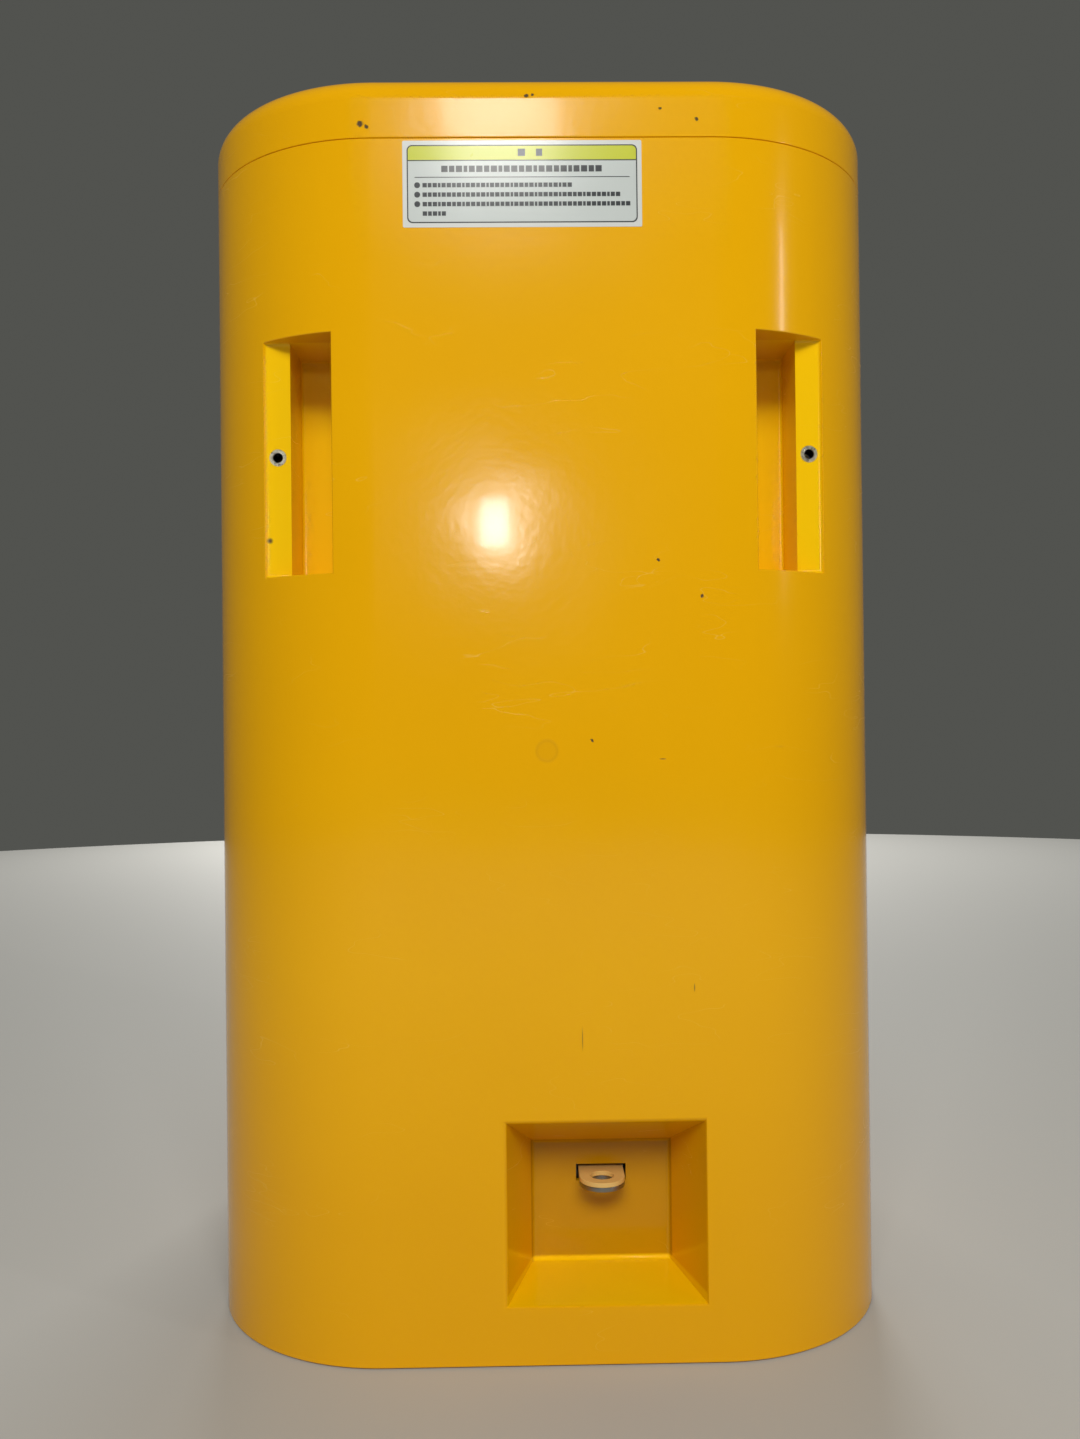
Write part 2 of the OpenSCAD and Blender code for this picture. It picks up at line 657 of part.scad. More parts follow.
// Lever whose nose stands just off the disc; a coin in the chute lifts it
module coin_latch() color(dark) difference() {
  union() {
    block([latch_x, disc_y0, knob_z - 3], [-disc_r - 0.6, disc_y1, knob_z + 3]);
    rod_y(latch_x, knob_z, 5, disc_y0, disc_y1);
    block([latch_x - 2.5, disc_y0, knob_z - 22], [latch_x + 2.5, disc_y1, knob_z]);
  }
  rod_y(latch_x, knob_z, pin_r + run_gap, disc_y0 - 1, disc_y1 + 1);
}

// ---------------------------------------------------------------- knob, gear and rack

module knob() color([0.12, 0.12, 0.13]) difference() {
  union() {
    rod_y(0, knob_z, knob_r, front_y - 10, front_y - 3.6);
    rod_y(0, knob_z, knob_r - 4, front_y - 12, front_y - 10);
    block([-6.5, front_y - 27, knob_z - knob_r + 8], [6.5, front_y - 10, knob_z + knob_r - 8]);
    for (s = [-1, 1]) rod_y(0, knob_z + s * (knob_r - 8), 6.5, front_y - 27, front_y - 10);
  }
  rod_y(0, knob_z, shaft_r, front_y - 20, front_y);
}

module knob_shaft() color(steel) rod_y(0, knob_z, shaft_r, front_y - 20, plate_y1 + 0.4);

// Involute points of one flank, from the base circle out to radius ro
function inv_point(rb, t) = [rb * (cos(t) + t * PI / 180 * sin(t)), rb * (sin(t) - t * PI / 180 * cos(t))];
function spin(p, a) = [p.x * cos(a) - p.y * sin(a), p.x * sin(a) + p.y * cos(a)];

gear_backlash = 0.25;
module gear_outline() {
  rb = pitch_r * cos(20);
  ro = pitch_r + gear_m;
  rr = pitch_r - 1.25 * gear_m;
  t_out = sqrt(pow(ro / rb, 2) - 1) * 180 / PI;
  t_pitch = tan(20) * 180 / PI;
  half = 90 / gear_n - gear_backlash / (2 * pitch_r) * 180 / PI + (t_pitch - 20);
  flank = [for (i = [0 : 5]) spin(inv_point(rb, t_out * i / 5), -half)];
  tooth = concat([spin([rr, 0], -half - 0.6)], flank, [for (i = [5 : -1 : 0]) [flank[i].x, -flank[i].y]],
                 [spin([rr, 0], half + 0.6)]);
  polygon([for (k = [0 : gear_n - 1]) each [for (p = tooth) spin(p, k * 360 / gear_n)]]);
}

module pinion_gear() color([0.80, 0.70, 0.42]) difference() {
  plate_y(gear_y0, gear_y1) translate([0, knob_z]) gear_outline();
  rod_y(0, knob_z, shaft_r, gear_y0 - 1, gear_y1 + 1);
}

module latch_disc() color(steel) difference() {
  rod_y(0, knob_z, disc_r, disc_y0, disc_y1);
  rod_y(0, knob_z, shaft_r, disc_y0 - 1, disc_y1 + 1);
  block([-disc_r - 1, disc_y0 - 1, knob_z - 3.6], [-disc_r + 4, disc_y1 + 1, knob_z + 3.6]);
}

// Turns of the torsion spring that brings the knob back
module knob_spring() color([0.5, 0.5, 0.52]) for (i = [0 : 3])
  translate([0, spring_y0 + 0.5 + i * 1.1, knob_z]) rotate([90, 0, 0])
    rotate_extrude() translate([shaft_r + 0.7, 0]) circle(0.45, $fn = 24);

module rack_bar() color([0.85, 0.85, 0.83]) {
  tip = pitch_r - gear_m + 0.1;
  w_pitch = tooth_pitch / 2 - gear_backlash;
  w_root = w_pitch + 2 * (rack_root_x - pitch_r) * tan(20);
  w_tip = w_pitch - 2 * (pitch_r - tip) * tan(20);
  first = ceil((rack_z0 - knob_z) / tooth_pitch);
  last = floor((rack_z1 - knob_z) / tooth_pitch) - 1;
  plate_y(gear_y0, gear_y1) union() {
    translate([rack_root_x, rack_z0]) square([rack_back_x - rack_root_x, rack_z1 - rack_z0]);
    for (k = [first : last]) translate([0, knob_z + (k + 0.5) * tooth_pitch]) polygon([
      [rack_root_x + e, -w_root / 2], [rack_root_x + e, w_root / 2], [tip, w_tip / 2], [tip, -w_tip / 2]
    ]);
  }
}

// Finger on the rack that pushes the front ticket down and out
module push_finger() color(steel) {
  x1 = rack_back_x - 0.5;
  block([rack_root_x + 0.5, gear_y1, finger_z], [x1, plate_y1 + 1.4, finger_z + 6]);
  block([-12, plate_y1 + 1.4, finger_z], [x1, finger_y1, finger_z + 6]);
}

// ---------------------------------------------------------------- coin return button

module reject_button() color([0.75, 0.1, 0.08]) {
  rod_y(button_x, coin_z, button_r, front_y - 6, front_y + 0.2);
  rod_y(button_x, coin_z, 8.5, front_y + 0.2, front_y + 1.7);
  rod_y(button_x, coin_z, 3, front_y + 1.7, chute_y1 - 1);
}

module button_spring() color(steel) for (i = [0 : 4])
  translate([button_x, front_y + 2.4 + i * 2.1, coin_z]) rotate([90, 0, 0])
    rotate_extrude() translate([4.2, 0]) circle(0.5, $fn = 24);

// ---------------------------------------------------------------- locks

module lock_body(x, z, wall_back) difference() {
  union() {
    rod_y(x, z, lock_body_r + 3, front_y - 2, front_y);
    rod_y(x, z, lock_body_r, front_y, cam_y0 - 1);
    rod_y(x, z, lock_body_r + 3, wall_back, wall_back + 3);
  }
  rod_y(x, z, lock_plug_r + run_gap, front_y - 3, cam_y0);
}

module lock_plug(x, z) difference() {
  union() {
    rod_y(x, z, lock_plug_r, front_y - 2.4, cam_y0);
    rod_y(x, z, 3, cam_y0, cam_y0 + cam_t + 2);
  }
  block([x - 0.8, front_y - 4, z - 3.5], [x + 0.8, front_y + 6, z + 3.5]);
}

// Cam plate that points along the unit direction (dx, dz)
module lock_cam(x, z, dx, dz) difference() {
  union() {
    rod_y(x, z, 6, cam_y0, cam_y0 + cam_t);
    block([x + min(dx * cam_len, -5 * abs(dz)), cam_y0, z + min(dz * cam_len, -5 * abs(dx))],
          [x + max(dx * cam_len, 5 * abs(dz)), cam_y0 + cam_t, z + max(dz * cam_len, 5 * abs(dx))]);
  }
  rod_y(x, z, 3, cam_y0 - 1, cam_y0 + cam_t + 1);
}

module door_lock_body() color([0.7, 0.7, 0.72]) lock_body(door_lock_x, knob_z, door_back);
module door_lock_plug() color([0.8, 0.78, 0.7]) lock_plug(door_lock_x, knob_z);
module door_lock_cam() color(steel) lock_cam(door_lock_x, knob_z, 0, -1);
module drawer_lock_body() color([0.7, 0.7, 0.72]) lock_body(drawer_lock_x, drawer_lock_z, box_y0 + box_t);
module drawer_lock_plug() color([0.8, 0.78, 0.7]) lock_plug(drawer_lock_x, drawer_lock_z);
module drawer_lock_cam() color(steel) lock_cam(drawer_lock_x, drawer_lock_z, 1, 0);

// ---------------------------------------------------------------- cash drawer

module cash_drawer() color(dark) difference() {
  block([-box_half, box_y0, box_z0], [box_half, box_y1, box_z1]);
  block([-box_half + box_t, box_y0 + box_t, box_z0 + box_t], [box_half - box_t, box_y1 - box_t, box_z1 + 1]);
  rod_y(drawer_lock_x, drawer_lock_z, lock_body_r + 0.1, box_y0 - 1, box_y0 + box_t + 1);
}

module drawer_front() color(cream) difference() {
  block([-drawer_half + 1, front_y, drawer_z0 + 1], [drawer_half - 1, box_y0, drawer_z1 - 1]);
  rod_y(drawer_lock_x, drawer_lock_z, lock_body_r + 0.1, front_y - 1, box_y0 + 1);
}

module drawer_pull() color(dark) {
  z = drawer_z0 + 26;
  for (s = [-1, 1]) block([s * 24 - 3, front_y - 9, z - 3], [s * 24 + 3, front_y, z + 3]);
  rod_x(front_y - 10, z, 4, -30, 30);
}

// ---------------------------------------------------------------- all nodes

body_shell();
base_plate();
base_screws();
hasp_bracket();
tie_lug();
grip_inserts();
rear_label();
lid();
lid_clips();
inner_frame();
frame_screws();
ticket_magazine();
ticket_stack();
stack_follower();
follower_spring();
drawer_runners();
coin_funnel();
hinge_brackets();
hinge_pins();
lock_strikes();
door_panel();
window_pane();
display_card();
window_retainer();
retainer_screws();
mechanism_plate();
plate_standoffs();
knob_bezel();
coin_plate();
coin_chute();
outlet_chute();
return_cup();
rack_guide();
latch_pin();
door_lock_body();
knob();
knob_shaft();
pinion_gear();
latch_disc();
knob_spring();
rack_bar();
push_finger();
coin_latch();
outlet_flap();
return_flap();
reject_button();
button_spring();
door_lock_plug();
door_lock_cam();
cash_drawer();
drawer_front();
drawer_pull();
drawer_lock_body();
drawer_lock_plug();
drawer_lock_cam();
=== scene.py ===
"""Looks of a small ticket vending machine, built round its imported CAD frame. Metres, +Z up, front at -Y."""
import json
import math

import bmesh
import bpy
from mathutils import Matrix, Vector

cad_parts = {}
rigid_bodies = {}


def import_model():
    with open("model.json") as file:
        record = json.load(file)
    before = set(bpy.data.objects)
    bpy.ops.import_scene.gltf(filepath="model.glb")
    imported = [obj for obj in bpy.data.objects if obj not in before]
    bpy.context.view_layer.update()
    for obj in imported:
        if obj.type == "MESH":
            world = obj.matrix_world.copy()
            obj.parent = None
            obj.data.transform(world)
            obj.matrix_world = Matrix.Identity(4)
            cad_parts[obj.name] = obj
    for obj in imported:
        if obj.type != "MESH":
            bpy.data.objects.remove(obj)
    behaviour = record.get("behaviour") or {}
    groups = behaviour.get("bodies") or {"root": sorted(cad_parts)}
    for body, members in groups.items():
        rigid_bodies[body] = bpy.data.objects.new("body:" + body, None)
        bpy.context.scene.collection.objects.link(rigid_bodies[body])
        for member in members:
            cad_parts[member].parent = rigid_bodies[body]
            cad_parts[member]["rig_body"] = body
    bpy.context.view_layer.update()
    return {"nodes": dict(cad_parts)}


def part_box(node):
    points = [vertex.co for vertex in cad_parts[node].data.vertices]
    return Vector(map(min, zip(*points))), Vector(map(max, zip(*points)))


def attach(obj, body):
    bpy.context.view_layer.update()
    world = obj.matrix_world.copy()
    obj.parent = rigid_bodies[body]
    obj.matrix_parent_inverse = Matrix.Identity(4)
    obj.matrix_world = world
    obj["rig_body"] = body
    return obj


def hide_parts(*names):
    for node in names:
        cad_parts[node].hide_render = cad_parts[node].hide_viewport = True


for leftover in list(bpy.data.objects):
    bpy.data.objects.remove(leftover, do_unlink=True)
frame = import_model()
nodes = frame["nodes"]
bpy.ops.object.select_all(action="DESELECT")

# ---------------------------------------------------------------- camera
# A hand-held camera behind the machine, at the height of its middle. It is level to within a degree,
# and close enough for the rounded rear corners to fall away on both sides.
LENS_MM = 30.77
CAMERA_PLACE = (0.0111, 0.655, 0.2616)
PAN_DEGREES, TILT_DEGREES, ROLL_DEGREES = 180 - 0.88, 90 + 0.36, -0.62
camera_data = bpy.data.cameras.new("camera")
camera_data.lens = LENS_MM
camera_data.sensor_width = 36.0
camera = bpy.data.objects.new("camera", camera_data)
bpy.context.scene.collection.objects.link(camera)
pan = Matrix.Rotation(math.radians(PAN_DEGREES), 4, "Z")
tilt = Matrix.Rotation(math.radians(TILT_DEGREES), 4, "X")
roll = Matrix.Rotation(math.radians(ROLL_DEGREES), 4, "Z")
camera.matrix_world = Matrix.Translation(CAMERA_PLACE) @ pan @ tilt @ roll
bpy.context.scene.camera = camera
bpy.context.scene.view_settings.view_transform = "Standard"

# ---------------------------------------------------------------- floor and studio light
# A pale seamless floor and soft boxes round the machine. Two small lamps behind the camera give the
# window glare on the lid's edge and the soft spot on the rear face, a wide fill lights the rear from above,
# a tall strip lights its right corner, and two boxes light the front.
FLOOR_RADIUS, FLOOR_Z = 2.4, -0.0005
bpy.ops.mesh.primitive_circle_add(vertices=96, radius=FLOOR_RADIUS, fill_type="NGON",
                                  location=(0, 0, FLOOR_Z))
floor = bpy.context.object
floor.name = "studio_floor"
bpy.ops.object.transform_apply(location=True, rotation=False, scale=False)
floor_paint = bpy.data.materials.new("pale_floor")
floor_paint.use_nodes = True
floor_shader = floor_paint.node_tree.nodes["Principled BSDF"]
floor_shader.inputs["Base Color"].default_value = (0.52, 0.52, 0.50, 1)
floor_shader.inputs["Roughness"].default_value = 0.7
floor.data.materials.append(floor_paint)

world = bpy.data.worlds.new("studio")
world.use_nodes = True
background = world.node_tree.nodes["Background"].inputs
background["Color"].default_value = (0.084, 0.086, 0.078, 1)
background["Strength"].default_value = 1.0
bpy.context.scene.world = world


def soft_box(name, place, aim, width, height, watts, tint=(1.0, 0.98, 0.94), gloss=True):
    """A rectangular area light at place, turned to face aim; without gloss it leaves no reflection."""
    data = bpy.data.lights.new(name, "AREA")
    data.shape = "RECTANGLE"
    data.size = width
    data.size_y = height
    data.energy = watts
    data.color = tint
    lamp = bpy.data.objects.new(name, data)
    lamp.location = place
    lamp.rotation_euler = (Vector(aim) - Vector(place)).to_track_quat("-Z", "Y").to_euler()
    lamp.visible_glossy = gloss
    bpy.context.scene.collection.objects.link(lamp)


middle = (0, 0, 0.27)
soft_box("key_above_camera", (0.040, 1.95, 1.43), middle, 0.22, 0.26, 4.5)
soft_box("spot_behind_camera", (0.057, 1.95, 0.645), (0, 0.15, 0.3), 0.05, 0.085, 1.7)
soft_box("wide_fill_rear", (0.0, 2.9, 2.25), middle, 2.2, 1.0, 78, gloss=False)
soft_box("strip_right", (-1.5, 1.10, 0.85), (0, 0, 0.35), 0.06, 0.55, 2.2)
soft_box("front_key", (-0.35, -2.6, 1.35), middle, 0.9, 0.8, 30)
soft_box("front_fill", (0.45, -2.6, 0.75), middle, 0.6, 0.8, 12)

# ---------------------------------------------------------------- yellow moulding
# The cabinet shell: a gloss yellow plastic moulding with an 80 mm radius on its rear corners and 40 mm
# in front. Hand grips and the tie pocket are sunk into its rear, and every mouth has a softened rim.
SHELL_X, SHELL_Y, SHELL_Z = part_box("body_shell")[1]
SHELL_WALL = 0.003
REAR_RADIUS = 0.080
FRONT_RADIUS = 0.040
GRIP_X, GRIP_WIDTH, GROOVE_WIDTH = 0.088, 0.0305, 0.0195
GRIP_LOW, GRIP_HIGH = 0.326, 0.4255
GROOVE_DEPTH, LEDGE_DEPTH = 0.045, 0.0175
POCKET_X, POCKET_HALF, POCKET_TAPER = -0.022, 0.0412, 0.0111
POCKET_LOW, POCKET_HIGH = 0.0244, 0.0994
POCKET_RISE, POCKET_DROP, POCKET_DEPTH = 0.002, 0.0207, 0.040
LEDGE_FACE, POCKET_BACK = SHELL_Y - LEDGE_DEPTH, SHELL_Y - POCKET_DEPTH
# How far a cutter runs past what it cuts
CLEAR = 0.01


def placed(name):
    """Names the new primitive and puts its place into its mesh."""
    bpy.context.object.name = name
    bpy.ops.object.transform_apply(location=True, rotation=True, scale=True)
    return bpy.context.object


def block(name, low, high):
    """A new cuboid between two corners."""
    bpy.ops.object.select_all(action="DESELECT")
    centre = [(a + b) / 2 for a, b in zip(low, high)]
    size = [b - a for a, b in zip(low, high)]
    bpy.ops.mesh.primitive_cube_add(size=1, location=centre, scale=size)
    return placed(name)


def rod(name, start, end, radius, sides=48):
    """A new cylinder from start to end."""
    bpy.ops.object.select_all(action="DESELECT")
    start, end = Vector(start), Vector(end)
    turned = (end - start).to_track_quat("Z", "Y").to_euler()
    bpy.ops.mesh.primitive_cylinder_add(vertices=sides, radius=radius, depth=(end - start).length,
                                        location=(start + end) / 2, rotation=turned)
    return placed(name)


def select_only(*pieces):
    """Selects these pieces alone, with the first one active."""
    bpy.ops.object.mode_set(mode="OBJECT")
    bpy.ops.object.select_all(action="DESELECT")
    for piece in pieces:
        piece.select_set(True)
    bpy.context.view_layer.objects.active = pieces[0]


def join_all(name, parts):
    """Joins the parts into one piece."""
    select_only(*parts)
    bpy.ops.object.join()
    bpy.context.object.name = name
    return bpy.context.object


def pick(piece, kind, test):
    """Opens piece in edit mode and selects the VERT, EDGE or FACE elements that pass test."""
    select_only(piece)
    bpy.ops.object.mode_set(mode="EDIT")
    bpy.ops.mesh.select_mode(type=kind)
    bpy.ops.mesh.select_all(action="DESELECT")
    mesh = bmesh.from_edit_mesh(piece.data)
    count = 0
    for part in {"VERT": mesh.verts, "EDGE": mesh.edges, "FACE": mesh.faces}[kind]:
        if test(part):
            part.select_set(True)
            count += 1
    mesh.select_flush_mode()
    bmesh.update_edit_mesh(piece.data)
    return count


def round_edges(piece, test, radius, steps):
    """Bevels the edges that pass test."""
    if pick(piece, "EDGE", test):
        bpy.ops.mesh.bevel(offset=radius, offset_type="OFFSET", segments=steps, profile=0.5,
                           affect="EDGES", clamp_overlap=True)
    bpy.ops.object.mode_set(mode="OBJECT")


def combine(piece, tool, operation="DIFFERENCE"):
    """Joins tool to piece or cuts it out, and throws the tool away."""
    bpy.ops.object.select_all(action="DESELECT")
    bpy.context.view_layer.objects.active = piece
    step = piece.modifiers.new("combine", "BOOLEAN")
    step.operation = operation
    step.solver = "EXACT"
    step.object = tool
    bpy.ops.object.modifier_apply(modifier=step.name)
    bpy.data.objects.remove(tool, do_unlink=True)


def along(edge, axis):
    """True if the edge runs along that axis, 0 to 2."""
    run = (edge.verts[1].co - edge.verts[0].co).normalized()
    return abs(run[axis]) > 0.999


def plan_prism(name, inset, low, high):
    """The cabinet's plan outline, moved in by inset, as an upright prism with rounded corners."""
    piece = block(name, (-SHELL_X + inset, -SHELL_Y + inset, low), (SHELL_X - inset, SHELL_Y - inset, high))
    round_edges(piece, lambda e: along(e, 2) and e.verts[0].co.y > 0, REAR_RADIUS - inset, 30)
    round_edges(piece, lambda e: along(e, 2) and e.verts[0].co.y < 0
                and abs(e.verts[0].co.x) > SHELL_X - inset - 1e-4, FRONT_RADIUS - inset, 16)
    return piece


def tapered_pocket(name, grow, mouth_y, floor_y):
    """The tie pocket's cutter: a block whose inner face is drawn in to the pocket's floor."""
    piece = block(name, (POCKET_X - POCKET_HALF - grow, floor_y, POCKET_LOW - grow),
                  (POCKET_X + POCKET_HALF + grow, mouth_y, POCKET_HIGH + grow))
    spread = (SHELL_Y - floor_y) / (SHELL_Y - mouth_y + SHELL_Y - floor_y) if mouth_y < SHELL_Y else 1.0
    bpy.ops.object.mode_set(mode="OBJECT")
    for vert in piece.data.vertices:
        if vert.co.y < floor_y + 1e-5:
            vert.co.x -= math.copysign(POCKET_TAPER * spread, vert.co.x - POCKET_X)
            vert.co.z += POCKET_RISE if vert.co.z < (POCKET_LOW + POCKET_HIGH) / 2 else -POCKET_DROP
    return piece


shell = plan_prism("cabinet_shell", 0, 0, SHELL_Z)
hollow = plan_prism("hollow", SHELL_WALL, -CLEAR, SHELL_Z + CLEAR)
combine(shell, hollow)
for side in (-1, 1):
    for width, depth in ((GROOVE_WIDTH, GROOVE_DEPTH), (GRIP_WIDTH, LEDGE_DEPTH)):
        xs = sorted((side * (GRIP_X - SHELL_WALL), side * (GRIP_X + width + SHELL_WALL)))
        backing = block("backing", (xs[0], SHELL_Y - depth - SHELL_WALL, GRIP_LOW - SHELL_WALL),
                        (xs[1], SHELL_Y + CLEAR, GRIP_HIGH + SHELL_WALL))
        combine(backing, plan_prism("outline", 0.0004, 0.001, SHELL_Z - 0.001), "INTERSECT")
        combine(shell, backing, "UNION")
backing = tapered_pocket("backing", SHELL_WALL, SHELL_Y - 0.0004, POCKET_BACK - SHELL_WALL)
combine(shell, backing, "UNION")


def near_surface(vert):
    """True if a vertex lies on the shell's outer face."""
    x, y = abs(vert.co.x), vert.co.y
    if y > SHELL_Y - REAR_RADIUS and x > SHELL_X - REAR_RADIUS:
        reach = math.hypot(x - SHELL_X + REAR_RADIUS, y - SHELL_Y + REAR_RADIUS)
        return abs(reach - REAR_RADIUS) < 0.0003
    return abs(y - SHELL_Y) < 0.0002


for side in (-1, 1):
    for width, depth in ((GROOVE_WIDTH, GROOVE_DEPTH), (GRIP_WIDTH, LEDGE_DEPTH)):
        xs = sorted((side * GRIP_X, side * (GRIP_X + width)))
        cutter = block("grip_cutter", (xs[0], SHELL_Y - depth, GRIP_LOW), (xs[1], SHELL_Y + CLEAR, GRIP_HIGH))
        round_edges(cutter, lambda e: all(v.co.y < SHELL_Y for v in e.verts), 0.0014, 3)
        combine(shell, cutter)
cutter = tapered_pocket("pocket_cutter", 0, SHELL_Y, POCKET_BACK)
pick(cutter, "FACE", lambda f: f.normal.y > 0.9)
bpy.ops.mesh.extrude_region_move(TRANSFORM_OT_translate={"value": (0, CLEAR, 0)})
round_edges(cutter, lambda e: all(v.co.y < SHELL_Y - 0.02 for v in e.verts), 0.0016, 3)
combine(shell, cutter)

INSERT_X, INSERT_Z, INSERT_RADIUS, INSERT_DEPTH = 0.113, 0.377, 0.0036, 0.0175
for side in (-1, 1):
    combine(shell, rod("insert_hole", (side * INSERT_X, LEDGE_FACE - INSERT_DEPTH, INSERT_Z),
                       (side * INSERT_X, LEDGE_FACE + 0.002, INSERT_Z), INSERT_RADIUS, 32))
SLOT_HALF, SLOT_LOW, SLOT_HIGH = 0.011, 0.061, 0.0683
combine(shell, block("slot_cutter", (POCKET_X - SLOT_HALF, POCKET_BACK - 0.006, SLOT_LOW),
                     (POCKET_X + SLOT_HALF, POCKET_BACK + 0.002, SLOT_HIGH)))
DOOR_HALF, DOOR_LOW, DOOR_HIGH = 0.105, 0.1165, 0.480
DRAWER_HALF, DRAWER_LOW, DRAWER_HIGH = 0.072, 0.038, 0.104
for half, low, high in ((DOOR_HALF, DOOR_LOW, DOOR_HIGH), (DRAWER_HALF, DRAWER_LOW, DRAWER_HIGH)):
    cutter = block("front_cutter", (-half, -SHELL_Y - CLEAR, low), (half, -SHELL_Y + 0.008, high))
    round_edges(cutter, lambda e: along(e, 1), 0.0012, 3)
    combine(shell, cutter)

BOSS_RADIUS, BOSS_TOP, PILOT_RADIUS = 0.007, 0.046, 0.0016
for side in (-1, 1):
    for radius, inset, face in ((REAR_RADIUS, 0.0093, 1), (FRONT_RADIUS, 0.009, -1)):
        reach = (radius - inset) * math.sqrt(0.5)
        x, y = side * (SHELL_X - radius + reach), face * (SHELL_Y - radius + reach)
        combine(shell, rod("boss", (x, y, 0.0025), (x, y, BOSS_TOP), BOSS_RADIUS, 32), "UNION")
        combine(shell, rod("pilot", (x, y, -0.001), (x, y, 0.020), PILOT_RADIUS, 16))


def rim(edge, low, high, least_angle=0.87):
    """True for a sharp edge inside a box: the corner between an outer face and the wall of a hole."""
    inside = all(low[i] <= v.co[i] <= high[i] for v in edge.verts for i in range(3))
    return inside and edge.is_manifold and edge.calc_face_angle(0) > least_angle


# Every rim of the shell is rounded: grips, pocket, front openings, upper mouth and foot. ROUND is how far
# past a hole its edges are looked for.
ROUND = 0.0005
for side in (-1, 1):
    xs = sorted((side * (GRIP_X - ROUND), side * (GRIP_X + GRIP_WIDTH + ROUND)))
    round_edges(shell, lambda e: rim(e, (xs[0], LEDGE_FACE - 0.0045, GRIP_LOW - ROUND),
                                     (xs[1], SHELL_Y + 0.001, GRIP_HIGH + ROUND))
                and all(near_surface(v) for v in e.verts), 0.0012, 3)
round_edges(shell, lambda e: rim(e, (POCKET_X - POCKET_HALF - ROUND, SHELL_Y - 1e-4, POCKET_LOW - ROUND),
                                 (POCKET_X + POCKET_HALF + ROUND, SHELL_Y + 1e-4, POCKET_HIGH + ROUND), 0.5),
            0.0015, 4)
round_edges(shell, lambda e: rim(e, (-DOOR_HALF - ROUND, -SHELL_Y - 1e-4, DRAWER_LOW - ROUND),
                                 (DOOR_HALF + ROUND, -SHELL_Y + 1e-4, DOOR_HIGH + ROUND)), 0.0007, 2)
round_edges(shell, lambda e: rim(e, (-1, -1, SHELL_Z - 1e-4), (1, 1, 1)), 0.0004, 2)
round_edges(shell, lambda e: rim(e, (-1, -1, -1), (1, 1, 1e-4))
            and max(abs(v.co.x) + abs(v.co.y) for v in e.verts) > 0.2, 0.0008, 3)


def smooth(piece, degrees=32):
    """Smooth shading up to that angle, weighted so that flat faces stay flat."""
    select_only(piece)
    bpy.ops.object.shade_smooth_by_angle(angle=math.radians(degrees))
    weighted = piece.modifiers.new("flat_faces", "WEIGHTED_NORMAL")
    weighted.keep_sharp = True
    bpy.ops.object.modifier_apply(modifier=weighted.name)


smooth(shell)


def new_group(name, numbers, outputs):
    """An empty shader node group with number inputs and outputs, and its two ends."""
    group = bpy.data.node_groups.new(name, "ShaderNodeTree")
    for label, value in numbers:
        group.interface.new_socket(label, in_out="INPUT", socket_type="NodeSocketFloat").default_value = value
    for label in outputs:
        group.interface.new_socket(label, in_out="OUTPUT", socket_type="NodeSocketFloat")
    return group, group.nodes.new("NodeGroupInput"), group.nodes.new("NodeGroupOutput")


def add_node(tree, kind, settings=(), inputs=()):
    """A node of that kind with its settings, and with inputs that are values or other nodes' sockets."""
    node = tree.nodes.new("ShaderNode" + kind)
    for label, value in dict(settings).items():
        setattr(node, label, value)
    for label, value in dict(inputs).items():
        if isinstance(value, bpy.types.NodeSocket):
            tree.links.new(value, node.inputs[label])
        else:
            node.inputs[label].default_value = value
    return node


# Each of these adds its node to the tree that its first socket is in
def number(operation, first, second=0.0, clamp=False):
    """The output of a Math node."""
    settings = {"operation": operation, "use_clamp": clamp}
    return add_node(first.id_data, "Math", settings, {0: first, 1: second}).outputs[0]


def plus(first, second, clamp=False):
    """The sum of two numbers."""
    return number("ADD", first, second, clamp)


def minus(first, second):
    """The first number less the second."""
    return number("SUBTRACT", first, second)


def times(first, second, clamp=False):
    """The product of two numbers."""
    return number("MULTIPLY", first, second, clamp)


def remap(value, low, high, to_low=0.0, to_high=1.0):
    """Maps value from low..high to another range, clamped."""
    return add_node(value.id_data, "MapRange", {}, {"Value": value, "From Min": low, "From Max": high,
                                                    "To Min": to_low, "To Max": to_high}).outputs[0]


def noise(place, scale, detail=3.0, rough=0.55):
    """The grey output of a Noise Texture."""
    return add_node(place.id_data, "TexNoise", {}, {"Vector": place, "Scale": scale, "Detail": detail,
                                                    "Roughness": rough}).outputs["Fac"]


def object_place(tree):
    """Object coordinates."""
    return add_node(tree, "TexCoord").outputs["Object"]


def stretched(place, scale, turned=(0, 0, 0)):
    """Object coordinates turned and stretched by a Mapping node."""
    inputs = {"Vector": place, "Rotation": turned, "Scale": scale}
    return add_node(place.id_data, "Mapping", {}, inputs).outputs[0]


def bumped(height, strength=1.0, distance=1.0):
    """The normal of a Bump node."""
    inputs = {"Strength": strength, "Distance": distance, "Height": height}
    return add_node(height.id_data, "Bump", {}, inputs).outputs[0]


def feed(shader, **sources):
    """Links each source to the shader's input of that name, with _ for a space."""
    for label, source in sources.items():
        shader.id_data.links.new(source, shader.inputs[label.replace("_", " ")])


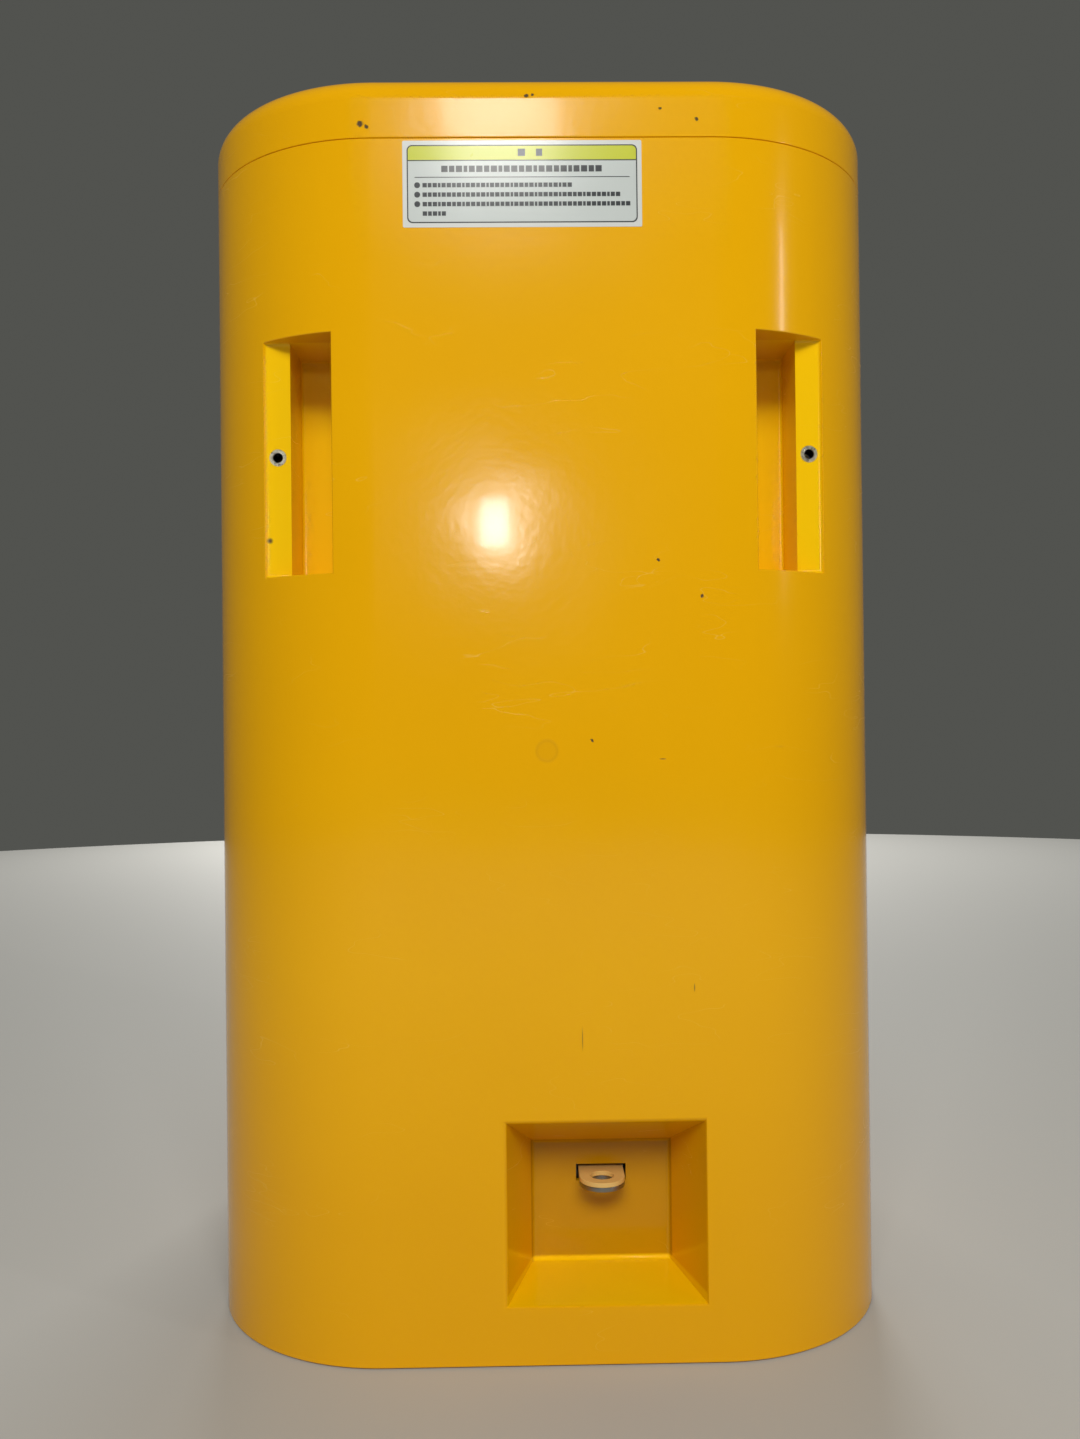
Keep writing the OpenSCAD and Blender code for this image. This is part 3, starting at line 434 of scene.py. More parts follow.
# Handling marks: hairline scratches that wander and stop, dust specks, and slow blotches of tone
marks, ends_in, ends_out = new_group("handling_marks", [("Scale", 1.0), ("Scratches", 1.0), ("Specks", 1.0)],
                                     ["Scratch", "Speck", "Blotch"])
sized = add_node(marks, "VectorMath", {"operation": "SCALE"},
                 {0: object_place(marks), "Scale": ends_in.outputs["Scale"]}).outputs[0]
hairlines = None
for angle, width in ((0.5, 0.0022), (1.9, 0.0028), (2.7, 0.0020)):
    grain = noise(stretched(sized, (14, 14, 60), (0.3 * angle, angle, 0.2)), 1.6, 2.0, 0.4)
    line = remap(number("ABSOLUTE", minus(grain, 0.5)), width, 0.0)
    patches = noise(stretched(sized, (9, 9, 13), (angle, 0, angle)), 2.2, 1.0)
    line = times(line, remap(patches, 0.60, 0.68))
    hairlines = line if hairlines is None else number("MAXIMUM", hairlines, line)
marks.links.new(times(hairlines, ends_in.outputs["Scratches"]), ends_out.inputs["Scratch"])
cells = add_node(marks, "TexVoronoi", {"feature": "F1"}, {"Vector": sized, "Scale": 60.0})
rare = add_node(marks, "SeparateColor", {}, {0: cells.outputs["Color"]})
dot = times(remap(cells.outputs["Distance"], 0.10, 0.05), remap(rare.outputs[0], 0.985, 0.99))
marks.links.new(times(dot, ends_in.outputs["Specks"]), ends_out.inputs["Speck"])
marks.links.new(noise(sized, 5.0, 3.0, 0.5), ends_out.inputs["Blotch"])


def handled(tree, scale, scratches, specks):
    """The handling marks' Scratch, Speck and Blotch."""
    return add_node(tree, "Group", {"node_tree": marks},
                    {"Scale": scale, "Scratches": scratches, "Specks": specks}).outputs


def mix_color(factor, first, second):
    """The output of a Mix node between two colours."""
    return add_node(factor.id_data, "Mix", {"data_type": "RGBA"}, {0: factor, 6: first, 7: second}).outputs[2]


def new_material(name, **plain):
    """A node material, its tree and its Principled shader, with plain values on the shader's own sockets."""
    material = bpy.data.materials.new(name)
    material.use_nodes = True
    tree = material.node_tree
    shader = tree.nodes["Principled BSDF"]
    for label, value in plain.items():
        shader.inputs[label.replace("_", " ")].default_value = value
    return material, tree, shader


def within(axes, low, high, soft=0.0012):
    """A mask that is 1 inside a box and fades to 0 at its faces."""
    mask = None
    for axis in range(3):
        for outer, inner in ((low[axis], low[axis] + soft), (high[axis], high[axis] - soft)):
            side = remap(axes[axis], outer, inner)
            mask = side if mask is None else times(mask, side)
    return mask


def squared_reach(axes, x, z, half_x=1.0, half_z=1.0):
    """The squared distance from the line along Y through x and z, in half widths and half heights."""
    across = number("DIVIDE", minus(axes[0], x), half_x)
    upright = number("DIVIDE", minus(axes[2], z), half_z)
    return plus(number("POWER", across, 2.0), number("POWER", upright, 2.0))


# Nicks that the rear face has picked up, as x, z and radius, and long scratches, as x, z, half width and
# half height
NICKS = ((0.0747, 0.5105, 0.0016), (0.0722, 0.5092, 0.0010), (-0.0640, 0.5120, 0.0009),
         (0.0062, 0.5218, 0.0010), (0.0036, 0.5222, 0.0007), (-0.0460, 0.3300, 0.0008),
         (-0.0640, 0.3150, 0.0009), (-0.0180, 0.2560, 0.0007), (-0.0400, 0.4990, 0.0006),
         (-0.0490, 0.5165, 0.0007))
SCRATCHES = ((-0.0127, 0.1335, 0.00022, 0.0055), (-0.0590, 0.1540, 0.0003, 0.0020),
             (-0.0470, 0.2480, 0.0016, 0.0003))
GATE_X, GATE_Z, GATE_RADIUS = 0.0006, 0.2518, 0.0050

yellow, tree, shader = new_material("yellow_moulding", Specular_IOR_Level=0.26, Coat_Weight=0.10,
                                    Coat_Roughness=0.05)
wear = handled(tree, 1.0, 1.0, 1.0)
place = object_place(tree)
axes = add_node(tree, "SeparateXYZ", {}, {0: place}).outputs
ragged = times(minus(noise(place, 900.0, 2.0), 0.5), 0.0016)
rear = remap(axes[1], 0.10, 0.12)
nicks = None
for x, z, radius in NICKS:
    reach = number("SQRT", squared_reach(axes, x, z))
    spot = remap(plus(reach, ragged), radius, radius * 0.6)
    nicks = spot if nicks is None else number("MAXIMUM", nicks, spot)
for scratch in SCRATCHES:
    line = remap(squared_reach(axes, *scratch), 1.0, 0.2, 0.0, 0.6)
    nicks = number("MAXIMUM", nicks, line)
nicks = times(nicks, rear)
# The gate mark is a round scar with a deeper ring
gate = number("SQRT", squared_reach(axes, GATE_X, GATE_Z))
ring = remap(number("ABSOLUTE", minus(gate, GATE_RADIUS * 0.86)), 0.0011, 0.0)
disc = remap(gate, GATE_RADIUS, GATE_RADIUS * 0.8)
gate_mark = times(plus(times(disc, 0.35), times(ring, 0.5)), rear, clamp=True)
tone = mix_color(remap(wear["Blotch"], 0.3, 0.7), (0.815, 0.402, 0.0004, 1), (0.845, 0.428, 0.0005, 1))
# Painted shade: from 160 mm down to 60 mm above the floor the shell turns darker and more orange
tone = mix_color(remap(axes[2], 0.16, 0.06, 0.0, 0.35), tone, (0.72, 0.31, 0.0004, 1))
# Tones painted into the recesses, which make up for light that the soft boxes don't give there: lighter
# inside the grips and on the tie pocket's bottom, and darker on the pocket's back
sides = [number("ABSOLUTE", axes[0]), axes[1], axes[2]]
in_grip = within(sides, (GRIP_X - 0.001, 0.100, GRIP_LOW - 0.002),
                 (GRIP_X + GRIP_WIDTH, LEDGE_FACE + 0.0017, GRIP_HIGH + 0.002))
in_pocket = within(axes, (POCKET_X - POCKET_HALF - 0.001, POCKET_BACK - 0.0015, POCKET_LOW - 0.0019),
                   (POCKET_X + POCKET_HALF + 0.001, SHELL_Y - 0.0003, POCKET_LOW + 0.0046))
pocket_back = within(axes, (POCKET_X - 0.035, POCKET_BACK - 0.0020, POCKET_LOW + 0.0031),
                     (POCKET_X + 0.035, POCKET_BACK + 0.0035, 0.0850))
tone = mix_color(number("MAXIMUM", in_grip, in_pocket), tone, (0.93, 0.56, 0.0010, 1))
tone = mix_color(times(pocket_back, 0.80), tone, (0.44, 0.220, 0.0008, 1))
tone = mix_color(times(gate_mark, 0.30), tone, (0.42, 0.20, 0.01, 1))
tone = mix_color(times(wear["Scratch"], 0.30), tone, (0.90, 0.60, 0.10, 1))
tone = mix_color(wear["Speck"], tone, (0.12, 0.07, 0.02, 1))
tone = mix_color(nicks, tone, (0.09, 0.055, 0.03, 1))
dull = plus(times(wear["Scratch"], 0.25), remap(wear["Blotch"], 0.3, 0.7, 0.13, 0.19))
skin = plus(times(noise(place, 260.0, 2.0), 0.00003),
            times(noise(place, 22.0, 1.0), 0.00028))
for mark, depth in ((wear["Scratch"], 0.00001), (nicks, 0.0002), (gate_mark, 0.00005)):
    skin = minus(skin, times(mark, depth))
feed(shader, Base_Color=tone, Roughness=plus(dull, times(nicks, 0.4), clamp=True),
     Normal=bumped(skin))
shell.data.materials.append(yellow)
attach(shell, "cabinet")
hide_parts("body_shell")

# ---------------------------------------------------------------- lid
# The lift-off lid is moulded in the same yellow plastic. Its top edge is rolled over at 11.5 mm, and a
# thin skirt drops inside the shell, so that only a hairline seam shows.
LID_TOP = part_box("lid")[1][2]
LID_EDGE = 0.0115
SKIRT_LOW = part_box("lid")[0][2]
lid = plan_prism("lid_moulding", 0, SHELL_Z + 0.0002, LID_TOP)
round_edges(lid, lambda e: all(v.co.z > LID_TOP - 1e-5 for v in e.verts), LID_EDGE, 12)
inner = plan_prism("lid_hollow", SHELL_WALL, SHELL_Z - CLEAR, LID_TOP - SHELL_WALL)
round_edges(inner, lambda e: all(v.co.z > LID_TOP - SHELL_WALL - 1e-5 for v in e.verts),
            LID_EDGE - SHELL_WALL, 8)
combine(lid, inner)
round_edges(lid, lambda e: rim(e, (-1, -1, SHELL_Z), (1, 1, SHELL_Z + 3e-4))
            and max(abs(v.co.x) for v in e.verts) + max(abs(v.co.y) for v in e.verts) > 0.2, 0.0005, 2)
skirt = plan_prism("skirt", SHELL_WALL + 0.0003, SKIRT_LOW, SHELL_Z + 0.003)
combine(skirt, plan_prism("skirt_hollow", SHELL_WALL + 0.0025, SKIRT_LOW - CLEAR, SHELL_Z + CLEAR))
flange = plan_prism("flange", SHELL_WALL - 0.0005, SHELL_Z + 0.0012, SHELL_Z + 0.003)
combine(flange, plan_prism("flange_hollow", SHELL_WALL + 0.001, SHELL_Z - CLEAR, SHELL_Z + CLEAR))
combine(lid, flange, "UNION")
combine(lid, skirt, "UNION")
smooth(lid)
lid.data.materials.append(yellow)
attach(lid, "lid")
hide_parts("lid")

# ---------------------------------------------------------------- rear label
# A printed film label under the seam. Its print is a rounded frame, a heading strip in yellow-green and
# rows of plain cells in place of words, laid on as thin layers.
LABEL_LOW, LABEL_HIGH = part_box("rear_label")
LAYER = 0.00003


def printed(name, left, right, low, high, layer, ink, radius=0.0, rounded=lambda e: True):
    """One flat printed shape on the label, in metres from its upper left corner as seen from behind."""
    xs = sorted((LABEL_HIGH[0] - left, LABEL_HIGH[0] - right))
    zs = sorted((LABEL_HIGH[2] - low, LABEL_HIGH[2] - high))
    piece = block(name, (xs[0], SHELL_Y, zs[0]), (xs[1], SHELL_Y + 0.00010 + layer * LAYER, zs[1]))
    if radius:
        round_edges(piece, lambda e: along(e, 1) and rounded(e), radius, 6)
    piece.data.materials.append(ink)
    return piece


def film(name, color, dull):
    """Printed label film: a flat ink colour, faintly cloudy, with rubbed patches in its gloss."""
    material, tree, shader = new_material(name, Coat_Weight=0.4, Coat_Roughness=0.12)
    wear = handled(tree, 3.0, 0.6, 0.5)
    tone = mix_color(wear["Blotch"], color, [c * 0.93 for c in color[:3]] + [1])
    feed(shader, Base_Color=mix_color(wear["Speck"], tone, (0.2, 0.18, 0.12, 1)),
         Roughness=remap(wear["Blotch"], 0.3, 0.7, dull, dull + 0.12))
    return material


white_film = film("label_white", (0.66, 0.68, 0.66, 1), 0.26)
grey_film = film("label_grey", (0.56, 0.61, 0.60, 1), 0.26)
green_film = film("label_yellow_green", (0.56, 0.60, 0.010, 1), 0.26)
dark_ink = film("label_ink", (0.018, 0.024, 0.030, 1), 0.30)
LABEL_WIDTH, LABEL_HEIGHT = LABEL_HIGH[0] - LABEL_LOW[0], LABEL_HIGH[2] - LABEL_LOW[2]
EDGE, LINE, HEADING = 0.0018, 0.0005, 0.0080
FIELD = EDGE + LINE
layers = [
    printed("label_film", 0, LABEL_WIDTH, 0, LABEL_HEIGHT, 0, white_film, 0.0006),
    printed("label_frame", EDGE, LABEL_WIDTH - EDGE, EDGE, LABEL_HEIGHT - EDGE, 1, dark_ink, 0.0022),
    printed("label_field", FIELD, LABEL_WIDTH - FIELD, FIELD, LABEL_HEIGHT - FIELD, 2, grey_film, 0.0019),
    printed("label_heading", FIELD, LABEL_WIDTH - FIELD, FIELD, HEADING, 3, green_film, 0.0018,
            lambda e: e.verts[0].co.z > LABEL_HIGH[2] - 0.005),
    printed("label_rule", FIELD, LABEL_WIDTH - FIELD, HEADING, HEADING + 0.0004, 4, dark_ink),
    printed("label_rule_2", 0.0050, LABEL_WIDTH - 0.0050, 0.0150, 0.01530, 4, dark_ink),
]
# Rows of plain cells stand where the words are: start, end, middle height and half height of each row
for left, right, depth, half in ((0.0475, 0.0605, 0.0050, 0.0015), (0.0160, 0.0830, 0.0117, 0.0013),
                                 (0.0082, 0.0700, 0.0184, 0.0009), (0.0082, 0.0900, 0.0223, 0.0009),
                                 (0.0082, 0.0935, 0.0262, 0.0009), (0.0082, 0.0190, 0.0301, 0.0009)):
    reach, count = left, 0
    while reach < right - half:
        wide = half * (2.0, 1.7, 2.0, 1.2, 1.9)[count % 5]
        layers.append(printed("label_cell", reach, reach + wide, depth - half, depth + half, 4, dark_ink))
        reach += wide + half * (0.45 if left < 0.04 else 3.0)
        count += 1
for depth in (0.0184, 0.0223, 0.0262):
    layers.append(printed("label_dot", 0.0048, 0.0072, depth - 0.0012, depth + 0.0012, 4, dark_ink, 0.00115))
label = join_all("printed_label", layers)
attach(label, "cabinet")
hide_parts("rear_label")

# ---------------------------------------------------------------- grip inserts
# Plated brass nuts, moulded into the outer ledge of each grip. The thread shows as rings inside the bore, the
# plating has patches of grime, and the bore is painted near black with depth, as painted shade.
inserts, tree, shader = new_material("plated_brass", Metallic=1.0)
place = object_place(tree)
axes = add_node(tree, "SeparateXYZ", {}, {0: place}).outputs
# Painted shade: the bore turns near black from 0.3 mm to 1.3 mm below the ledge face
deep = remap(axes[1], LEDGE_FACE - 0.0003, LEDGE_FACE - 0.0013)
tone = mix_color(deep, (0.86, 0.80, 0.66, 1), (0.030, 0.026, 0.020, 1))
grime = remap(noise(place, 700.0, 3.0), 0.45, 0.75, 0.0, 0.7)
thread = add_node(tree, "TexWave", {"wave_type": "BANDS", "bands_direction": "Y"},
                  {"Vector": place, "Scale": 390.0}).outputs["Fac"]
feed(shader, Base_Color=mix_color(grime, tone, (0.16, 0.12, 0.08, 1)),
     Roughness=remap(noise(place, 900.0), 0.3, 0.7, 0.22, 0.50),
     Normal=bumped(thread, 0.6, 0.0004))


def soften(node, name, width, material, steps=2, degrees=35, shape=None):
    """A merged copy of a CAD node, shaped further and with its sharp edges rounded, in place of the node."""
    source = nodes[node]
    piece = bpy.data.objects.new(name, source.data.copy())
    bpy.context.scene.collection.objects.link(piece)
    piece.data.materials.clear()
    pick(piece, "VERT", lambda v: True)
    bpy.ops.mesh.remove_doubles(threshold=2e-6)
    bpy.ops.mesh.dissolve_limited(angle_limit=math.radians(0.6))
    bpy.ops.object.mode_set(mode="OBJECT")
    if piece.data.has_custom_normals:
        bpy.ops.mesh.customdata_custom_splitnormals_clear()
    if shape:
        shape(piece)
    edges = piece.modifiers.new("edges", "BEVEL")
    edges.width = width
    edges.segments = steps
    edges.limit_method = "ANGLE"
    edges.angle_limit = math.radians(degrees)
    bpy.ops.object.modifier_apply(modifier=edges.name)
    smooth(piece, degrees)
    piece.data.materials.append(material)
    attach(piece, source["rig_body"])
    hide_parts(node)


soften("grip_inserts", "threaded_inserts", 0.0003, inserts)

# ---------------------------------------------------------------- tie lugs
# Two pressed tongues with one round hole stand out through the pocket's slot. The upper one is painted
# tan, and the lower one is a grey steel angle that stands on the base plate.


def painted(name, color, dull, chips=(0.30, 0.29, 0.27, 1)):
    """Satin paint on steel with faint orange peel, rubbed tone and a few chips."""
    material, tree, shader = new_material(name, Coat_Weight=0.1)
    wear = handled(tree, 2.0, 0.8, 1.0)
    tone = mix_color(wear["Blotch"], color, [c * 0.86 for c in color[:3]] + [1])
    tone = mix_color(times(wear["Scratch"], 0.5), tone, chips)
    peel = noise(object_place(tree), 800.0)
    feed(shader, Base_Color=mix_color(wear["Speck"], tone, chips),
         Roughness=remap(wear["Blotch"], 0.3, 0.7, dull, dull + 0.12),
         Normal=bumped(peel, 0.25, 0.0002))
    return material


# Rolled or turned metal: a grain drawn out along one axis, and slow clouds in its tone
rolled, ends_in, ends_out = new_group("rolled_metal", [("Along X", 1.0), ("Along Y", 1.0), ("Along Z", 1.0)],
                                      ["Grain", "Cloud"])
place = object_place(rolled)
pulled = add_node(rolled, "CombineXYZ", {}, {axis: ends_in.outputs[axis] for axis in range(3)}).outputs[0]
drawn = add_node(rolled, "VectorMath", {"operation": "MULTIPLY"}, {0: place, 1: pulled}).outputs[0]
rolled.links.new(noise(drawn, 60.0, 4.0, 0.7), ends_out.inputs["Grain"])
rolled.links.new(noise(place, 35.0, 3.0), ends_out.inputs["Cloud"])


def metal(name, color, dull, stretch, tarnish=0.72, relief=0.15):
    """Bare or plated metal with its working grain, cloudy tarnish and hairline scratches."""
    material, tree, shader = new_material(name, Metallic=1.0)
    worked = add_node(tree, "Group", {"node_tree": rolled},
                      dict(zip(("Along X", "Along Y", "Along Z"), map(float, stretch)))).outputs
    wear = handled(tree, 3.0, 1.0, 0.8)
    tone = mix_color(worked["Cloud"], color, [c * tarnish for c in color[:3]] + [1])
    rough = plus(remap(worked["Grain"], 0.3, 0.7, dull, dull + 0.16),
                 remap(worked["Cloud"], 0.4, 0.7, 0.0, 0.10))
    feed(shader, Base_Color=mix_color(wear["Speck"], tone, (0.10, 0.08, 0.06, 1)),
         Roughness=plus(rough, times(wear["Scratch"], 0.2)),
         Normal=bumped(worked["Grain"], relief, 0.0002))
    return material


tan_paint = painted("tan_paint", (0.80, 0.52, 0.17, 1), 0.34, (0.50, 0.36, 0.18, 1))
steel = metal("plated_sheet", (0.40, 0.41, 0.41, 1), 0.36, (30, 1, 1))
soften("tie_lug", "upper_lug", 0.0005, tan_paint, 3)
soften("hasp_bracket", "lower_lug", 0.0004, steel, 2)

# ---------------------------------------------------------------- base plate and screws
# A plated steel plate closes the cabinet from below and takes the casters. Pan-head screws hold it and the
# frame's feet.
zinc = metal("bright_zinc", (0.66, 0.66, 0.63, 1), 0.22, (1, 1, 1), 0.80, 0.05)
soften("base_plate", "bottom_plate", 0.0004, steel)
soften("base_screws", "plate_screws", 0.0003, zinc)
soften("frame_screws", "foot_screws", 0.0003, zinc)


def finish_nodes(material, *names):
    """Gives CAD nodes whose shape is right their final finish."""
    for name in names:
        for slot in nodes[name].material_slots:
            slot.link = "OBJECT"
            slot.material = material


# ---------------------------------------------------------------- frame, magazine and tickets
# A folded frame in cream satin paint stands on the plate. On its shelf lies an open moulded channel with the
# tickets on edge, and a follower with a rolled strip spring presses them to the front.
cream_paint = painted("cream_paint", (0.66, 0.60, 0.46, 1), 0.40)
soften("inner_frame", "folded_frame", 0.0004, cream_paint)

# Moulded skin: the fine texture of a mould, and the slow waviness of a large flat moulding
MOULD_GRAIN, KNOB_GRAIN = 900.0, 1100.0
moulding, ends_in, ends_out = new_group("moulded_skin", [("Scale", MOULD_GRAIN)], ["Texture", "Waviness"])
place = object_place(moulding)
fine = add_node(moulding, "TexNoise", {}, {"Vector": place, "Scale": ends_in.outputs["Scale"], "Detail": 3.0})
moulding.links.new(fine.outputs["Fac"], ends_out.inputs["Texture"])
moulding.links.new(noise(place, 24.0, 1.0), ends_out.inputs["Waviness"])


def moulded(name, color, dull, texture, scuff, **plain):
    """Satin plastic with the mould's texture, uneven tone, scuffs and dust."""
    material, tree, shader = new_material(name, **plain)
    wear = handled(tree, 1.6, 0.8, 0.6)
    skin = add_node(tree, "Group", {"node_tree": moulding}, {"Scale": MOULD_GRAIN}).outputs
    tone = mix_color(wear["Blotch"], color, [c * 0.88 for c in color[:3]] + [1])
    tone = mix_color(times(wear["Scratch"], 0.35), tone, scuff)
    rough = plus(remap(wear["Blotch"], 0.3, 0.7, dull, dull + 0.10), times(wear["Scratch"], 0.15))
    height = plus(times(skin["Texture"], texture), times(skin["Waviness"], 0.0002))
    feed(shader, Base_Color=mix_color(wear["Speck"], tone, (0.16, 0.13, 0.10, 1)), Roughness=rough,
         Normal=bumped(height))
    return material


cream = moulded("cream_moulding", (0.72, 0.66, 0.50, 1), 0.30, 0.00003, (0.80, 0.76, 0.66, 1))
black = moulded("black_moulding", (0.018, 0.018, 0.020, 1), 0.36, 0.00008, (0.16, 0.16, 0.16, 1))
soften("ticket_magazine", "magazine_channel", 0.0004, cream)
soften("stack_follower", "follower_plate", 0.0004, black)

# Paper: fibres, and on the stack the cut edges of single tickets as fine lines with a few darker ones
tickets, tree, shader = new_material("ticket_paper")
place = object_place(tree)
leaves = noise(stretched(place, (0.6, 1400.0, 0.6)), 1.0, 2.0, 0.8)
fibre = noise(place, 1300.0, 4.0, 0.7)
tone = mix_color(remap(leaves, 0.30, 0.55), (0.50, 0.44, 0.36, 1), (0.80, 0.77, 0.68, 1))
feed(shader, Base_Color=mix_color(remap(fibre, 0.3, 0.7, 0.0, 0.15), tone, (0.62, 0.58, 0.48, 1)),
     Roughness=remap(fibre, 0.3, 0.7, 0.62, 0.80), Normal=bumped(leaves, 0.6, 0.0002))
finish_nodes(tickets, "ticket_stack")

springs = metal("blued_spring", (0.27, 0.28, 0.31, 1), 0.26, (1, 30, 1), 0.70, 0.08)
finish_nodes(springs, "follower_spring", "knob_spring", "button_spring")

# ---------------------------------------------------------------- hinges, strikes and slides
# Folded plated brackets inside the front wall carry the door's two pivot pins and catch the lock cams.
# Angle runners carry the cash drawer, and spring clips hold the lid.
finish_nodes(steel, "hinge_brackets", "lock_strikes", "drawer_runners", "lid_clips")
finish_nodes(zinc, "hinge_pins")
finish_nodes(black, "coin_funnel")

# ---------------------------------------------------------------- door
# A cream moulded panel with a stiffening flange behind its edge. A black edging strip lines the window, and
# small printed signs show where the ticket and the coins come out.
DOOR_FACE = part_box("door_panel")[0][1]
soften("door_panel", "door_moulding", 0.0007, cream, 3)
WINDOW_HALF, WINDOW_LOW, WINDOW_HIGH = 0.078, 0.312, 0.456
PANE_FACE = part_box("window_pane")[0][1]


def framed(name, half, low, high, front, back, band):
    """A rectangular ring round x = 0 between front and back, band wide."""
    ring = block(name, (-half, front, low), (half, back, high))
    round_edges(ring, lambda e: along(e, 1), 0.0016, 4)
    combine(ring, block("inside", (-half + band, front - CLEAR, low + band),
                        (half - band, back + CLEAR, high - band)))
    return ring


edging = framed("window_edging", WINDOW_HALF + 0.0022, WINDOW_LOW - 0.0022, WINDOW_HIGH + 0.0022,
                DOOR_FACE - 0.0009, DOOR_FACE, 0.0046)
combine(edging, framed("inner_lip", WINDOW_HALF - 0.0001, WINDOW_LOW + 0.0001, WINDOW_HIGH - 0.0001,
                       DOOR_FACE - 0.0004, PANE_FACE, 0.0023), "UNION")
round_edges(edging, lambda e: rim(e, (-1, DOOR_FACE - 0.00091, 0), (1, DOOR_FACE - 0.00089, 1)), 0.0004, 2)
smooth(edging)
edging.data.materials.append(black)
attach(edging, "door")


def arrow(name, low, high, axis, forward):
    """A triangle that points along X or Z: a block whose far side is drawn in to one edge."""
    piece = block(name, low, high)
    middle = [(a + b) / 2 for a, b in zip(low, high)]
    for vert in piece.data.vertices:
        if (vert.co[axis] - middle[axis]) * forward > 0:
            vert.co[2 - axis] = middle[2 - axis]
    pick(piece, "VERT", lambda v: True)
    bpy.ops.mesh.remove_doubles(threshold=1e-6)
    bpy.ops.object.mode_set(mode="OBJECT")
    return piece


SIGN_FRONT = DOOR_FACE - 0.00006
ARROW_HALF, SHAFT_HALF = 0.0070, 0.0028
RETURN_X, RETURN_SIGN_Z = 0.0750, 0.1860
signs = []
for x, low in ((0.0, 0.1600), (RETURN_X, 0.1650)):
    signs.append(arrow("sign_arrow", (x - ARROW_HALF, SIGN_FRONT, low),
                       (x + ARROW_HALF, DOOR_FACE, low + 0.0080), 2, -1))
    signs.append(block("sign_shaft", (x - SHAFT_HALF, SIGN_FRONT, low + 0.0078),
                       (x + SHAFT_HALF, DOOR_FACE, low + 0.0130)))


def sign_disc(name, front, back, radius, sides=48):
    """A disc of the coin sign above the return cup."""
    return rod(name, (RETURN_X, front, RETURN_SIGN_Z), (RETURN_X, back, RETURN_SIGN_Z), radius, sides)


coin_ring = sign_disc("sign_coin", SIGN_FRONT, DOOR_FACE, 0.0052)
combine(coin_ring, sign_disc("inside", -0.2, 0, 0.0042))
signs.append(coin_ring)
signs.append(sign_disc("sign_coin_middle", SIGN_FRONT, DOOR_FACE, 0.0024, 32))
signs = join_all("door_signs", signs)
signs.data.materials.clear()
signs.data.materials.append(dark_ink)
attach(signs, "door")

# ---------------------------------------------------------------- window and display card
# A clear sheet with a printed card behind it, held by a black frame and six screws. The card shows tickets
# in four colours above three plain pictures: coin, knob, ticket.
clear, tree, shader = new_material("clear_sheet", Transmission_Weight=1.0, IOR=1.49, Alpha=0.30)
smears = noise(stretched(object_place(tree), (1, 1, 3)), 18.0, 4.0, 0.6)
wear = handled(tree, 2.0, 1.0, 1.0)
feed(shader, Base_Color=mix_color(wear["Speck"], (0.90, 0.95, 0.96, 1), (0.4, 0.38, 0.33, 1)),
     Roughness=plus(remap(smears, 0.45, 0.7, 0.03, 0.14), times(wear["Scratch"], 0.2)))
finish_nodes(clear, "window_pane")

CARD_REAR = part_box("display_card")[1][1]
CARD_BASE = CARD_REAR - 0.00032
INK_BACK = CARD_REAR - 0.00015
INK_LAYER = 0.00002


def ink_block(x, z, half_x, half_z, layer, ink, radius=0.0):
    """One printed rectangle on the display card, about its middle. Layer 0 is the card itself."""
    back = INK_BACK if layer else CARD_REAR
    piece = block("card_ink", (x - half_x, CARD_BASE - layer * INK_LAYER, z - half_z),
                  (x + half_x, back, z + half_z))
    if radius:
        round_edges(piece, lambda e: along(e, 1), radius, 4)
    piece.data.materials.append(ink)
    return piece


def ink_disc(x, z, radius, layer, ink):
    """One printed disc on the display card."""
    piece = rod("card_ink", (x, CARD_BASE - layer * INK_LAYER, z), (x, INK_BACK, z), radius, 32)
    piece.data.materials.append(ink)
    return piece


card_blue = film("card_blue", (0.020, 0.100, 0.260, 1), 0.40)
card_red = film("card_red", (0.560, 0.045, 0.030, 1), 0.40)
card_green = film("card_green", (0.050, 0.300, 0.110, 1), 0.40)
card_yellow = film("card_yellow", (0.780, 0.460, 0.020, 1), 0.40)
CARD_Z, BANNER_Z, TICKET_Z, STEPS_Z = 0.384, 0.4365, 0.3860, 0.3345
COLUMN, STEP_X = 0.037, 0.048
card = [ink_block(0, CARD_Z, 0.084, 0.078, 0, white_film),
        ink_block(0, BANNER_Z, 0.0755, 0.0165, 1, card_blue, 0.003),
        ink_block(0, STEPS_Z, 0.0755, 0.0195, 1, grey_film, 0.003)]
# Four tickets side by side, each with a heading, three lines and a dot
for column, ink in enumerate((card_red, card_green, card_yellow, card_blue)):
    x = (column - 1.5) * COLUMN
    card += [ink_block(x, TICKET_Z, 0.0150, 0.0230, 1, ink, 0.002),
             ink_block(x, TICKET_Z, 0.0135, 0.0215, 2, white_film, 0.0015),
             ink_block(x, TICKET_Z + 0.0145, 0.0135, 0.0060, 3, ink, 0.001)]
    for line in range(3):
        z = TICKET_Z + 0.0040 - line * 0.0045
        card.append(ink_block(x, z, 0.0100 - line * 0.0012, 0.0008, 3, dark_ink))
    card.append(ink_disc(x, TICKET_Z - 0.0145, 0.0034, 3, ink))
# The banner's ticket
card += [ink_block(0, BANNER_Z, 0.0300, 0.0100, 2, white_film, 0.002),
         ink_block(0.0110, BANNER_Z, 0.0006, 0.0086, 3, card_blue),
         ink_block(-0.0080, BANNER_Z + 0.0035, 0.0150, 0.0016, 3, card_blue),
         ink_block(-0.0080, BANNER_Z - 0.0020, 0.0150, 0.0010, 3, card_blue),
         ink_disc(0.0200, BANNER_Z, 0.0050, 3, card_yellow)]
